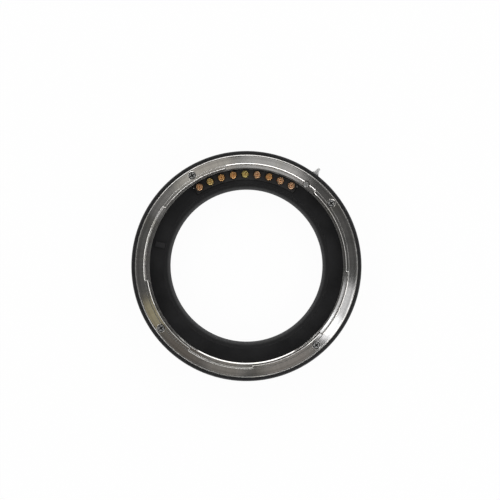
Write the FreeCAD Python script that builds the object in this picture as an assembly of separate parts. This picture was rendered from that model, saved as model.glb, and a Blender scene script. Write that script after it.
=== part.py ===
"""Macro extension tube: a short barrel between a lens bayonet and a camera bayonet.

The tube's axis is Z. The camera side stands on z = 0, the lens goes on at the top, and +Y is the
side with the contacts. Angles are in degrees, counted from +X towards +Y. Lengths are in millimetres.
"""
import FreeCAD
import Part
import math
import os

Vec = FreeCAD.Vector
ORIGIN = Vec(0, 0, 0)
UP = Vec(0, 0, 1)

# Main sizes
extension = 13.0              # camera register face to lens register face
spigot_length = 4.3           # how far the rear bayonet goes into the camera
throat_radius = 38.2          # wall of the lens bayonet between its tabs

# Clearances
turned_fit = 0.05             # between turned pieces that fit into each other
close_fit = 0.02              # around pins that are pressed or screwed in
sliding_fit = 0.1             # around pieces that slide
moulding_gap = 0.2            # between moulded pieces
bayonet_play = 0.25           # between this bayonet and its mate

# Front bayonet ring
ring_wall = 3.4               # throat wall to the ring's outer edge
ring_height = 5.4
tab_sectors = [(-3.25, 47.5), (102.0, 144.5), (188.0, 235.5), (273.5, 318.0)]
tab_overhang = 1.04
tab_thickness = 1.5
tab_step = 0.2                # tab's face below the register face
tab_corner = 0.4
lip_thickness = 0.9
lip_bevel_width = 0.45
lip_bevel_depth = 0.35
edge_bevel = 0.25
fine_bevel = 0.2

# Screws of the front ring
front_screw_angles = [36.5, 120.9, 216.0, 311.5]
front_screw_inset = 1.2       # screw circle outside the throat wall
front_shank_radius = 0.75
front_head_radius = 1.4
front_head_height = 0.8
front_head_sink = 0.3         # head's top below the register face
front_thread_length = 3.4     # in the barrel's shelf

# Leaf springs under the tabs
seat_spring_thickness = 0.2
seat_spring_bow = 0.25
seat_spring_inset = 5.0       # degrees from each end of the tab
seat_spring_gap = 0.1         # to the tab's edge and to the throat wall

# Rear bayonet
rear_flange_thickness = 2.0
spigot_wall = 1.15
register_width = 2.6
register_relief = 0.3
lug_height = 2.35
lug_play_angle = 2.0          # a lug is this much shorter than its gap at each end
lug_corner = 0.6
rear_screw_angles = [75.0, 165.0, 250.0, 330.0]
rear_shank_radius = 0.6
rear_head_radius = 1.1
rear_head_height = 0.8
rear_head_sink = 0.15
rear_thread_length = 3.0

# Barrel
rim_wall = 1.35
rim_setback = 0.4             # rim's ends behind the register faces
rim_bevel = 0.35
rear_step_depth = 0.5         # the rear of the barrel is slimmer by this much
rear_step_height = 2.2
groove_depth = 0.25
groove_width = 0.5
groove_setback = 2.2          # groove's middle behind the rim's front edge
ledge_width = 0.6             # seat of the baffle's floor

# Contacts
contact_count = 9
contact_pitch = 7.5           # degrees
contact_middle = 90.8         # degrees
contact_inset = 1.26          # contact circle inside the rear spigot
contact_radius = 1.3
contact_rise = 1.3            # pin's top above its block
contact_bevel = 0.3
dimple_radius = 0.6
dimple_depth = 0.15
collar_width = 0.2
collar_height = 0.9
guide_length = 0.7            # block's wall round the pin
block_rise = 0.4              # block's top above the baffle's floor
block_outer_wall = 0.15
block_inner_wall = 0.45
board_thickness = 0.6
board_seat = 1.2              # board's overlap on the rear flange
leaf_thickness = 0.12
leaf_width = 1.2
leaf_reach = 1.1
pad_radius = 0.9
pad_sink = 0.2                # pad's face inside its block
rear_block_inset = 0.15       # rear block's face inside the spigot's end
rear_block_step = 0.6
rear_block_wall = 0.7         # rear block's wall beyond its last pad

# Light baffle and rear cover
floor_thickness = 1.0
floor_tuck = 0.4              # floor's edge under the ring's lip
baffle_wall = 1.0
cone_taper = 2.21
rear_inset = 1.2              # baffle's end and the cover inside the spigot's end
rib_angle = 166.25
rib_width = 2.05
rib_height = 0.4
rib_setback = 1.2             # rib's outer end inside the lip
cover_thickness = 1.0
post_radius = 1.4
post_angles = [20.0, 160.0, 270.0]
cover_shank_radius = 0.5
cover_head_radius = 1.0
cover_head_height = 0.5
cover_thread_length = 2.5

# Lens lock
lock_angle = 53.8             # degrees
lock_inset = 0.3              # lock pin's axis inside the throat wall
lock_pin_radius = 1.15
lock_neck_step = 0.15
lock_bore_radius = 0.7
lock_crown = 1.5              # closed end of the hollow pin
lock_pin_drop = 1.9           # pin's top below the register face
lock_clear_margin = 0.1       # pin's top below the lens's lugs when drawn back
lever_thickness = 1.2
lever_headroom = 0.4          # lever below the baffle's floor
lever_eye_wall = 0.6
lever_arm_width = 2.0
lever_slot_gap = 0.15
finger_gap = 0.25             # finger piece outside the rim
finger_length = 2.75
finger_root_width = 3.0
finger_tip_width = 1.2
finger_offset = 0.5           # finger piece beside the arm's middle, clockwise
finger_waist = 0.2            # how far the flanks are hollowed
finger_height = 3.2
spring_wire_radius = 0.12
spring_turns = 6
spring_facets = 12            # straight pieces in a turn

# Turn stop
stop_pin_radius = 0.5
stop_pin_gap = 0.05           # to the throat wall
stop_pin_headroom = 0.3       # below the tabs

# Heights along the axis
rear_register = spigot_length
shelf_bottom = rear_register + rear_flange_thickness
front_register = rear_register + extension
shelf_top = front_register - ring_height
floor_bottom = shelf_top - floor_thickness
lip_top = shelf_top + lip_thickness
tab_bottom = front_register - tab_thickness
rim_front = front_register - rim_setback
rim_rear = rear_register + rim_setback
board_top = shelf_bottom + board_thickness
block_top = shelf_top + block_rise
contact_top = block_top + contact_rise
collar_top = block_top - guide_length
collar_bottom = collar_top - collar_height
cover_top = rear_inset + cover_thickness

# Radii, from the throat wall inwards and outwards
ring_radius = throat_radius + ring_wall
recess_radius = ring_radius + turned_fit
outer_radius = recess_radius + rim_wall
tab_radius = throat_radius - tab_overhang
front_screw_circle = throat_radius + front_screw_inset
spigot_radius = tab_radius - bayonet_play
spigot_bore = spigot_radius - spigot_wall
lug_radius = throat_radius - bayonet_play
register_inner = lug_radius + moulding_gap
register_outer = register_inner + register_width
rear_screw_circle = (register_inner + register_outer - fine_bevel) / 2
contact_circle = spigot_bore - contact_inset
collar_radius = contact_radius + collar_width
counterbore_radius = collar_radius + sliding_fit
block_outer = contact_circle + counterbore_radius + block_outer_wall
block_inner = contact_circle - counterbore_radius - block_inner_wall
lip_radius = block_outer + moulding_gap
floor_outer = lip_radius + floor_tuck
shelf_bore = lip_radius - ledge_width
floor_inner = block_inner - moulding_gap - baffle_wall
light_radius = floor_inner - cone_taper
board_outer = spigot_bore + board_seat
cover_outer = spigot_bore - sliding_fit
post_circle = (spigot_bore + floor_inner) / 2
lock_circle = throat_radius - lock_inset
stop_circle = throat_radius - stop_pin_gap - stop_pin_radius

# Angles of what is spread round the tube
contact_angles = [contact_middle + contact_pitch * (index - (contact_count - 1) / 2)
                  for index in range(contact_count)]
block_end_margin = math.degrees((counterbore_radius + block_inner_wall) / contact_circle)
block_start = contact_angles[0] - block_end_margin
block_end = contact_angles[-1] + block_end_margin
rear_end_margin = math.degrees((pad_radius + rear_block_wall) / contact_circle)
rear_start = contact_angles[0] - rear_end_margin
rear_end = contact_angles[-1] + rear_end_margin
gap_angle = math.degrees(moulding_gap / contact_circle)
lock_half_angle = math.degrees(math.asin((lock_pin_radius + turned_fit) / lock_circle))
next_tab_starts = [start for start, end in tab_sectors[1:]] + [tab_sectors[0][0] + 360]
gap_sectors = [(end, start) for (_, end), start in zip(tab_sectors, next_tab_starts)]
lock_turn = gap_sectors[0][1] - lug_play_angle - (lock_angle - lock_half_angle)
lug_sectors = [(start + lug_play_angle - lock_turn, end - lug_play_angle - lock_turn)
               for start, end in gap_sectors]
stop_half_angle = math.degrees((stop_pin_radius + turned_fit) / stop_circle)
stop_angle = lug_sectors[2][0] - stop_half_angle

# Lens lock along the axis
lock_pin_top = front_register - lock_pin_drop
lock_travel = lock_pin_top - (front_register - spigot_length) + lock_clear_margin
lever_top = floor_bottom - lever_headroom
lever_bottom = lever_top - lever_thickness
lever_eye_radius = lock_pin_radius + lever_eye_wall
lock_neck_radius = lock_pin_radius - lock_neck_step
lock_pocket_radius = lever_eye_radius + moulding_gap


def polar(radius, angle, z=0.0):
    """Point at a radius and an angle round the tube's axis."""
    turn = math.radians(angle)
    return Vec(radius * math.cos(turn), radius * math.sin(turn), z)


def turned(profile):
    """Solid turned about the Z axis from its (radius, height) corners."""
    corners = [Vec(radius, 0, height) for radius, height in profile]
    outline = Part.makePolygon(corners + corners[:1])
    return Part.Face(outline).revolve(ORIGIN, UP, 360)


def turned_bevel(low, high, outer_side=False):
    """Ring that cuts a bevel from the low to the high (radius, height) point of an inner or outer edge."""
    reach = ((high[0] - low[0]) / 2, (high[1] - low[1]) / 2)
    start = (low[0] - reach[0], low[1] - reach[1])
    end = (high[0] + reach[0], high[1] + reach[1])
    corner = (end[0], start[1]) if outer_side else (start[0], end[1])
    return turned([start, end, corner])


def sector(inner, outer, start, end, low, high):
    """Piece of a flat ring between two angles."""
    middle = (start + end) / 2
    outer_arc = Part.Arc(polar(outer, start, low), polar(outer, middle, low), polar(outer, end, low))
    inner_arc = Part.Arc(polar(inner, end, low), polar(inner, middle, low), polar(inner, start, low))
    edges = [
        outer_arc.toShape(),
        Part.LineSegment(polar(outer, end, low), polar(inner, end, low)).toShape(),
        inner_arc.toShape(),
        Part.LineSegment(polar(inner, start, low), polar(outer, start, low)).toShape(),
    ]
    return Part.Face(Part.Wire(edges)).extrude(UP * (high - low))


def corner_arc(root, tip, angle, way, corner, z):
    """Three points of the rounded corner where a straight end meets the tip circle."""
    centre_radius = tip + math.copysign(corner, root - tip)
    swing = way * math.degrees(math.asin(corner / centre_radius))
    centre = polar(centre_radius, angle + swing, z)
    on_end = polar(math.sqrt(centre_radius ** 2 - corner ** 2), angle, z)
    on_tip = polar(tip, angle + swing, z)
    bisector = (on_end - centre) + (on_tip - centre)
    return on_end, centre + bisector.normalize() * corner, on_tip


def rounded_sector(root, tip, start, end, low, high, corner):
    """Tab or lug: a ring sector with rounded corners at its tip radius."""
    middle = (start + end) / 2
    first_end, first_middle, first_tip = corner_arc(root, tip, start, 1, corner, low)
    last_end, last_middle, last_tip = corner_arc(root, tip, end, -1, corner, low)
    root_arc = Part.Arc(polar(root, start, low), polar(root, middle, low), polar(root, end, low))
    edges = [
        root_arc.toShape(),
        Part.LineSegment(polar(root, end, low), last_end).toShape(),
        Part.Arc(last_end, last_middle, last_tip).toShape(),
        Part.Arc(last_tip, polar(tip, middle, low), first_tip).toShape(),
        Part.Arc(first_tip, first_middle, first_end).toShape(),
        Part.LineSegment(first_end, polar(root, start, low)).toShape(),
    ]
    return Part.Face(Part.Wire(edges)).extrude(UP * (high - low))


def rod(radius, low, high, spot=ORIGIN):
    """Round bar along Z over a spot."""
    return Part.makeCylinder(radius, high - low, Vec(spot.x, spot.y, low))


def turned_to(shape, angle):
    """Shape made on the +X side, turned to its angle round the tube."""
    return shape.rotated(ORIGIN, UP, angle)


def seat_hole(spot, shank_radius, head_radius, mouth, step, tail):
    """Stepped screw hole: head's seat from mouth to step, shank on to tail."""
    low, high = sorted((mouth, step))
    seat = rod(head_radius + turned_fit, low, high, spot)
    low, high = sorted((step, tail))
    return seat.fuse(rod(shank_radius + close_fit, low, high, spot))


def cross_screw(head_radius, head_height, shank_radius, shank_length):
    """Screw with its head's top at z = 0 and its shank down, with a cross recess."""
    bevel = 0.25 * head_height
    recess_depth = 0.55 * head_height
    arm_length = 1.3 * head_radius
    arm_width = 0.28 * head_radius
    tail = -head_height - shank_length
    body = turned([
        (0, 0),
        (head_radius - bevel, 0),
        (head_radius, -bevel),
        (head_radius, -head_height),
        (shank_radius, -head_height),
        (shank_radius, tail),
        (0, tail),
    ])
    corner = Vec(-arm_length / 2, -arm_width / 2, -recess_depth)
    arm = Part.makeBox(arm_length, arm_width, head_height, corner)
    cross = arm.fuse(arm.rotated(ORIGIN, UP, 90))
    return body.cut(cross)


def screws_from_front(screw, circle, angles, head_top):
    """Screws round the tube with their heads towards the lens."""
    copies = []
    for angle in angles:
        copies.append(turned_to(screw, angle).translated(polar(circle, angle, head_top)))
    return Part.makeCompound(copies)


def screws_from_rear(screw, circle, angles, head_top):
    """Screws round the tube with their heads towards the camera."""
    return screws_from_front(screw.rotated(ORIGIN, Vec(1, 0, 0), 180), circle, angles, head_top)


def make_barrel():
    """Turned black body: front and rear recess, a shelf between, pockets for lock and contacts."""
    rear_radius = outer_radius - rear_step_depth
    step = rim_rear + rear_step_height
    groove = rim_front - groove_setback
    rear_recess = register_outer + turned_fit
    body = turned([
        (rear_recess, rim_rear),
        (rear_radius - rim_bevel, rim_rear),
        (rear_radius, rim_rear + rim_bevel),
        (rear_radius, step - rear_step_depth),
        (outer_radius, step),
        (outer_radius, groove - groove_width),
        (outer_radius - groove_depth, groove - groove_width / 2),
        (outer_radius - groove_depth, groove + groove_width / 2),
        (outer_radius, groove + groove_width),
        (outer_radius, rim_front - rim_bevel),
        (outer_radius - rim_bevel, rim_front),
        (recess_radius, rim_front),
        (recess_radius, shelf_top),
        (floor_outer + turned_fit, shelf_top),
        (floor_outer + turned_fit, floor_bottom),
        (shelf_bore, floor_bottom),
        (shelf_bore, shelf_bottom),
        (rear_recess, shelf_bottom),
    ])
    pocket_inner = shelf_bore - ledge_width
    pocket_outer = board_outer + moulding_gap
    contact_pocket = sector(pocket_inner, pocket_outer, lock_angle, block_end + gap_angle, shelf_bottom,
                            floor_bottom)
    body = body.cut(contact_pocket)
    body = body.cut(rod(lock_pocket_radius, shelf_bottom, shelf_top, polar(lock_circle, lock_angle)))
    slot_width = lever_arm_width + 2 * lever_slot_gap
    slot_low = lever_bottom - lock_travel - lever_slot_gap
    slot_high = lever_top + lever_slot_gap
    slot_corner = Vec(lock_circle, -slot_width / 2, slot_low)
    slot = Part.makeBox(outer_radius, slot_width, slot_high - slot_low, slot_corner)
    body = body.cut(turned_to(slot, lock_angle))
    hole_bottom = shelf_top - front_thread_length - moulding_gap
    for angle in front_screw_angles:
        spot = polar(front_screw_circle, angle)
        body = body.cut(rod(front_shank_radius + close_fit, hole_bottom, shelf_top, spot))
    hole_top = shelf_bottom + rear_thread_length + moulding_gap
    for angle in rear_screw_angles:
        spot = polar(rear_screw_circle, angle)
        body = body.cut(rod(rear_shank_radius + close_fit, shelf_bottom, hole_top, spot))
    return body


def make_front_bayonet():
    """Chromed lens bayonet: ring with a lip at its foot and four bevelled tabs at its face."""
    ring = turned([
        (lip_radius, shelf_top),
        (ring_radius, shelf_top),
        (ring_radius, front_register - edge_bevel),
        (ring_radius - edge_bevel, front_register),
        (throat_radius + fine_bevel, front_register),
        (throat_radius, front_register - fine_bevel),
        (throat_radius, lip_top),
        (lip_radius + lip_bevel_width, lip_top),
        (lip_radius, lip_top - lip_bevel_depth),
    ])
    tab_root = throat_radius + 2 * fine_bevel
    tab_top = front_register - tab_step
    for start, end in tab_sectors:
        tab = rounded_sector(tab_root, tab_radius, start, end, tab_bottom, tab_top, tab_corner)
        ring = ring.fuse(tab)
    edge_start = (tab_radius, tab_top - fine_bevel)
    edge_end = (tab_radius + fine_bevel, tab_top)
    ring = ring.cut(turned_bevel(edge_start, edge_end))
    head_seat = front_register - front_head_sink - front_head_height
    for angle in front_screw_angles:
        spot = polar(front_screw_circle, angle)
        hole = seat_hole(spot, front_shank_radius, front_head_radius, front_register, head_seat, shelf_top)
        ring = ring.cut(hole)
    lock_spot = polar(lock_circle, lock_angle)
    lock_hole = rod(lock_pin_radius + sliding_fit, shelf_top, front_register, lock_spot)
    stop_hole = rod(stop_pin_radius + close_fit, shelf_top, lip_top, polar(stop_circle, stop_angle))
    return ring.cut(lock_hole).cut(stop_hole).removeSplitter()


def make_front_screws():
    """Four screws that hold the lens bayonet to the barrel's shelf."""
    head_top = front_register - front_head_sink
    shank_length = head_top - front_head_height - shelf_top + front_thread_length
    screw = cross_screw(front_head_radius, front_head_height, front_shank_radius, shank_length)
    return screws_from_front(screw, front_screw_circle, front_screw_angles, head_top)


def make_seat_spring(start, end):
    """Bowed leaf under one tab, spot-welded to it at both ends."""
    first = start + seat_spring_inset
    last = end - seat_spring_inset
    inner = tab_radius + seat_spring_gap
    outer = throat_radius - seat_spring_gap
    half_length = outer * math.sin(math.radians((last - first) / 2))
    top = tab_bottom
    low = top - seat_spring_thickness
    left_top = Vec(0, -half_length, top)
    right_top = Vec(0, half_length, top)
    left_low = Vec(0, -half_length, low)
    right_low = Vec(0, half_length, low)
    edges = [
        Part.Arc(left_top, Vec(0, 0, top - seat_spring_bow), right_top).toShape(),
        Part.LineSegment(right_top, right_low).toShape(),
        Part.Arc(right_low, Vec(0, 0, low - seat_spring_bow), left_low).toShape(),
        Part.LineSegment(left_low, left_top).toShape(),
    ]
    strip = Part.Face(Part.Wire(edges)).extrude(Vec(outer, 0, 0))
    strip = turned_to(strip, (first + last) / 2)
    return strip.common(sector(inner, outer, first, last, low - seat_spring_bow, top))


def make_stop_pin():
    """Pin in the lip that ends the lens's turn."""
    return rod(stop_pin_radius, shelf_top, tab_bottom - stop_pin_headroom, polar(stop_circle, stop_angle))


def make_lock_pin():
    """Hollow plunger with a necked foot for the lever's eye."""
    pin = turned([
        (lock_bore_radius, lever_bottom),
        (lock_neck_radius, lever_bottom),
        (lock_neck_radius, lever_top),
        (lock_pin_radius, lever_top),
        (lock_pin_radius, lock_pin_top - edge_bevel),
        (lock_pin_radius - edge_bevel, lock_pin_top),
        (0, lock_pin_top),
        (0, lock_pin_top - lock_crown),
        (lock_bore_radius, lock_pin_top - lock_crown),
    ])
    return pin.translated(polar(lock_circle, lock_angle))


def make_release_lever():
    """Lever: an eye round the pin's neck, an arm through the barrel and a hollow-flanked finger piece."""
    eye = rod(lever_eye_radius, lever_bottom, lever_top, Vec(lock_circle, 0, 0))
    root = outer_radius + finger_gap
    tip = root + finger_length
    tip_half = finger_tip_width / 2
    root_half = finger_root_width / 2
    shoulder = tip - tip_half
    arm_length = root + finger_gap - lock_circle
    arm_corner = Vec(lock_circle, -lever_arm_width / 2, lever_bottom)
    arm = Part.makeBox(arm_length, lever_arm_width, lever_thickness, arm_corner)
    waist_spot = (root + shoulder) / 2
    waist_half = (root_half + tip_half) / 2 - finger_waist
    low = (lever_top + lever_bottom - finger_height) / 2
    left_root = Vec(root, root_half, low)
    right_root = Vec(root, -root_half, low)
    left_tip = Vec(shoulder, tip_half, low)
    right_tip = Vec(shoulder, -tip_half, low)
    edges = [
        Part.LineSegment(right_root, left_root).toShape(),
        Part.Arc(left_root, Vec(waist_spot, waist_half, low), left_tip).toShape(),
        Part.Arc(left_tip, Vec(tip, 0, low), right_tip).toShape(),
        Part.Arc(right_tip, Vec(waist_spot, -waist_half, low), right_root).toShape(),
    ]
    finger = Part.Face(Part.Wire(edges)).extrude(UP * finger_height)
    finger = finger.translated(Vec(0, -finger_offset, 0))
    hole = rod(lock_neck_radius + close_fit, lever_bottom, lever_top, Vec(lock_circle, 0, 0))
    lever = eye.fuse(arm).fuse(finger).cut(hole).removeSplitter()
    return turned_to(lever, lock_angle)


def make_lock_spring():
    """Coil spring of square wire, from the rear flange up into the hollow lock pin."""
    low = shelf_bottom + spring_wire_radius
    high = lock_pin_top - lock_crown - spring_wire_radius
    coil_radius = lock_bore_radius - spring_wire_radius - sliding_fit
    inner = coil_radius - spring_wire_radius
    outer = coil_radius + spring_wire_radius
    steps = spring_turns * spring_facets
    sections = []
    for step in range(steps + 1):
        angle = 360 * step / spring_facets
        middle = low + (high - low) * step / steps
        bottom = middle - spring_wire_radius
        top = middle + spring_wire_radius
        corners = [polar(inner, angle, bottom), polar(outer, angle, bottom), polar(outer, angle, top),
                   polar(inner, angle, top)]
        sections.append(Part.makePolygon(corners + corners[:1]))
    coil = Part.makeLoft(sections, True, True)
    return coil.translated(polar(lock_circle, lock_angle))


def make_light_baffle():
    """Black moulding: a flat floor under the lip, a conical wall to the rear and three posts."""
    body = turned([
        (floor_inner, shelf_top),
        (floor_outer, shelf_top),
        (floor_outer, floor_bottom),
        (floor_inner + baffle_wall, floor_bottom),
        (light_radius + baffle_wall, rear_inset),
        (light_radius, rear_inset),
    ])
    rib_start = floor_inner + edge_bevel
    rib_length = lip_radius - rib_setback - rib_start
    rib = Part.makeBox(rib_length, rib_width, rib_height, Vec(rib_start, -rib_width / 2, shelf_top))
    body = body.fuse(turned_to(rib, rib_angle))
    for angle in post_angles:
        spot = polar(post_circle, angle)
        body = body.fuse(rod(post_radius, cover_top, floor_bottom, spot))
        pilot_top = cover_top + cover_thread_length + moulding_gap
        body = body.cut(rod(cover_shank_radius + close_fit, cover_top, pilot_top, spot))
    window_gap = moulding_gap / 2
    window = sector(block_inner - window_gap, block_outer + window_gap, block_start - gap_angle / 2,
                    block_end + gap_angle / 2, floor_bottom, shelf_top)
    pin_notch = rod(lock_pin_radius + moulding_gap, floor_bottom, shelf_top, polar(lock_circle, lock_angle))
    return body.cut(window).cut(pin_notch).removeSplitter()


def make_front_contact_block():
    """Moulded holder of the contact pins: a foot on the board and a raised face in the floor's window."""
    foot = sector(block_inner, board_outer, block_start, block_end, board_top, floor_bottom)
    face = sector(block_inner, block_outer, block_start, block_end, floor_bottom, block_top)
    block = foot.fuse(face)
    for angle in contact_angles:
        spot = polar(contact_circle, angle)
        guide = rod(contact_radius + sliding_fit, collar_top, block_top, spot)
        counterbore = rod(counterbore_radius, board_top, collar_top, spot)
        block = block.cut(guide.fuse(counterbore))
    return block.removeSplitter()


def make_contact_pin(angle):
    """Gold pin with a collar that keeps it in its block and a dimple in its crown."""
    pin = turned([
        (0, collar_bottom),
        (collar_radius, collar_bottom),
        (collar_radius, collar_top),
        (contact_radius, collar_top),
        (contact_radius, contact_top - contact_bevel),
        (contact_radius - contact_bevel, contact_top),
        (dimple_radius, contact_top),
        (0, contact_top - dimple_depth),
    ])
    return pin.translated(polar(contact_circle, angle))


def make_contact_spring(angle):
    """Folded leaf on the board: a flat foot and a finger that rises to the pin."""
    foot_corner = Vec(-leaf_reach, -leaf_width / 2, board_top)
    foot = Part.makeBox(2 * leaf_reach, leaf_width, leaf_thickness, foot_corner)
    corners = [
        Vec(-leaf_reach, -leaf_width / 2, board_top),
        Vec(leaf_reach, -leaf_width / 2, collar_bottom - leaf_thickness),
        Vec(leaf_reach, -leaf_width / 2, collar_bottom),
        Vec(-leaf_reach, -leaf_width / 2, board_top + leaf_thickness),
    ]
    finger = Part.Face(Part.makePolygon(corners + corners[:1])).extrude(Vec(0, leaf_width, 0))
    leaf = foot.fuse(finger).removeSplitter()
    return turned_to(leaf.translated(Vec(contact_circle, 0, 0)), angle)


def make_contact_board():
    """Circuit board between the front springs and the rear pads, seated on the rear flange."""
    return sector(block_inner, board_outer, block_start, block_end, shelf_bottom, board_top)


def make_rear_contact_block():
    """Moulded holder of the rear pads, stepped over the rear cover's edge."""
    upper = sector(block_inner, cover_outer, rear_start, rear_end, cover_top, shelf_bottom)
    step_inner = block_inner + rear_block_step
    lower = sector(step_inner, cover_outer, rear_start, rear_end, rear_block_inset, cover_top)
    block = upper.fuse(lower)
    for angle in contact_angles:
        spot = polar(contact_circle, angle)
        block = block.cut(rod(pad_radius + close_fit, rear_block_inset, shelf_bottom, spot))
    return block.removeSplitter()


def make_rear_contact_pads():
    """Nine gold pads that pass the lens's signals on to the camera."""
    face = rear_block_inset + pad_sink
    return Part.makeCompound([rod(pad_radius, face, shelf_bottom, polar(contact_circle, angle))
                              for angle in contact_angles])


def make_rear_bayonet():
    """Chromed camera bayonet: flange with a raised register face, spigot and four lugs."""
    body = turned([
        (spigot_bore, fine_bevel),
        (spigot_bore + fine_bevel, 0),
        (spigot_radius - fine_bevel, 0),
        (spigot_radius, fine_bevel),
        (spigot_radius, rear_register + register_relief),
        (register_inner, rear_register + register_relief),
        (register_inner, rear_register),
        (register_outer - fine_bevel, rear_register),
        (register_outer, rear_register + fine_bevel),
        (register_outer, shelf_bottom),
        (spigot_bore, shelf_bottom),
    ])
    lug_root = spigot_radius - 2 * fine_bevel
    for start, end in lug_sectors:
        body = body.fuse(rounded_sector(lug_root, lug_radius, start, end, 0, lug_height, lug_corner))
    body = body.cut(turned_bevel((lug_radius - edge_bevel, 0), (lug_radius, edge_bevel), outer_side=True))
    head_seat = rear_register + rear_head_sink + rear_head_height
    for angle in rear_screw_angles:
        spot = polar(rear_screw_circle, angle)
        hole = seat_hole(spot, rear_shank_radius, rear_head_radius, rear_register, head_seat, shelf_bottom)
        body = body.cut(hole)
    return body.removeSplitter()


def make_rear_screws():
    """Four screws that hold the camera bayonet to the barrel's shelf."""
    head_top = rear_register + rear_head_sink
    shank_length = shelf_bottom + rear_thread_length - head_top - rear_head_height
    screw = cross_screw(rear_head_radius, rear_head_height, rear_shank_radius, shank_length)
    return screws_from_rear(screw, rear_screw_circle, rear_screw_angles, head_top)


def make_rear_cover():
    """Thin black ring that closes the space between baffle and spigot, open at the contacts."""
    cone_rise = (cover_top - rear_inset) / (floor_bottom - rear_inset)
    cone_at_cover = light_radius + baffle_wall + cone_taper * cone_rise
    cover_inner = cone_at_cover + moulding_gap
    cover = turned([
        (cover_inner, rear_inset),
        (cover_outer - fine_bevel, rear_inset),
        (cover_outer, rear_inset + fine_bevel),
        (cover_outer, cover_top),
        (cover_inner, cover_top),
    ])
    notch_inner = block_inner + rear_block_step - turned_fit
    notch = sector(notch_inner, spigot_bore, rear_start - gap_angle / 2, rear_end + gap_angle / 2,
                   rear_inset, cover_top)
    cover = cover.cut(notch)
    head_seat = rear_inset + cover_head_height
    for angle in post_angles:
        spot = polar(post_circle, angle)
        hole = seat_hole(spot, cover_shank_radius, cover_head_radius, rear_inset, head_seat, cover_top)
        cover = cover.cut(hole)
    return cover


def make_rear_cover_screws():
    """Three small screws from the cover into the baffle's posts."""
    shank_length = cover_thickness - cover_head_height + cover_thread_length
    screw = cross_screw(cover_head_radius, cover_head_height, cover_shank_radius, shank_length)
    return screws_from_rear(screw, post_circle, post_angles, rear_inset)


pieces = {
    "barrel": make_barrel(),
    "front_bayonet": make_front_bayonet(),
    "front_bayonet_screws": make_front_screws(),
    "rotation_stop_pin": make_stop_pin(),
    "lock_pin": make_lock_pin(),
    "release_lever": make_release_lever(),
    "lock_spring": make_lock_spring(),
    "light_baffle": make_light_baffle(),
    "front_contact_block": make_front_contact_block(),
    "contact_board": make_contact_board(),
    "rear_contact_block": make_rear_contact_block(),
    "rear_contact_pads": make_rear_contact_pads(),
    "rear_bayonet": make_rear_bayonet(),
    "rear_bayonet_screws": make_rear_screws(),
    "rear_cover": make_rear_cover(),
    "rear_cover_screws": make_rear_cover_screws(),
}
for number, (start, end) in enumerate(tab_sectors, 1):
    pieces[f"seat_spring_{number}"] = make_seat_spring(start, end)
for number, angle in enumerate(contact_angles, 1):
    pieces[f"contact_pin_{number}"] = make_contact_pin(angle)
    pieces[f"contact_spring_{number}"] = make_contact_spring(angle)

os.makedirs("parts", exist_ok=True)
for name, shape in pieces.items():
    shape.exportStep(f"parts/{name}.step")
    print(name, len(shape.Solids), "solids,", round(shape.Volume, 2), "mm3, valid:", shape.isValid())
print("outer diameter", round(2 * outer_radius, 2), "height", round(front_register, 2))
print("clear opening", round(2 * light_radius, 2), "lock travel", round(lock_travel, 3))
print("contact circle", round(contact_circle, 3), "lip", round(lip_radius, 3))
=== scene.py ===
# %% [markdown]
# # A macro extension tube
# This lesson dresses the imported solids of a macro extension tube: a short black barrel with a chromed
# lens bayonet in front, a row of sprung gold contacts, and a camera bayonet behind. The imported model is
# the fixed frame. Every piece that shows is worked out again as a surface with numpy, a little finer
# than the solids, with softened edges that catch the light, and takes the place of its solid.

# %% Load the frame
import math

import bmesh
import bpy
import numpy as np
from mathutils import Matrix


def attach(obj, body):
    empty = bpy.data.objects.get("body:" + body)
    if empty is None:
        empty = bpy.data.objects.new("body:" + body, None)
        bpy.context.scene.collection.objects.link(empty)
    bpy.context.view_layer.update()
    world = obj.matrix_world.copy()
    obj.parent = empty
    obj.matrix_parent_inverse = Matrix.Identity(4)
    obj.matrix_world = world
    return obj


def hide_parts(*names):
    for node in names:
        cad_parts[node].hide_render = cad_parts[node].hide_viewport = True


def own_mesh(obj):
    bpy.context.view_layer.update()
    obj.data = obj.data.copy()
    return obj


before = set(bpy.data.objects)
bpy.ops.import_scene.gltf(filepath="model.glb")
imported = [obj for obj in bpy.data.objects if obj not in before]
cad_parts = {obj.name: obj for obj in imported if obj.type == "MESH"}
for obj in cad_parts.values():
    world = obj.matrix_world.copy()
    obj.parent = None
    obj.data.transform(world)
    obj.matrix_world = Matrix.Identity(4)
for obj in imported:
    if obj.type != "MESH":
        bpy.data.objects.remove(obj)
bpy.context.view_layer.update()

# %% [markdown]
# ## From arrays to a mesh
# Nearly everything on a lens mount is made on a lathe or a mill, so each surface has two parameters:
# how far along a path round the tube, and how far along a profile. One helper joins such a grid of
# points into quads. It could be done with Blender's Screw modifier, but a grid in numpy lets the
# profile change with the angle, which the bayonet's tabs need. The UV map has U along the profile and V
# along the path, so a finish can tell which way the lathe went.

# %% Grid helper
MM = 0.001
MERGE_DISTANCE = 2e-7


def grid_faces(rows, columns, closed_profile):
    """Quads of a grid: point (i, j) joins (i + 1, j), (i + 1, j + 1) and (i, j + 1). The path, i, wraps
    round to its first row, and the profile, j, wraps as well if it is closed."""
    across_count = columns if closed_profile else columns - 1
    path, across = np.meshgrid(np.arange(rows), np.arange(across_count), indexing="ij")
    next_path = (path + 1) % rows
    next_across = (across + 1) % columns
    corners = [(path, across), (next_path, across), (next_path, next_across), (path, next_across)]
    faces = np.stack([i * columns + j for i, j in corners], -1).reshape(-1, 4)
    u = np.stack([across, across, across + 1, across + 1], -1) / columns
    v = np.stack([path, path + 1, path + 1, path], -1) / rows
    return faces, np.stack([u, v], -1).reshape(-1, 2)


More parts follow.
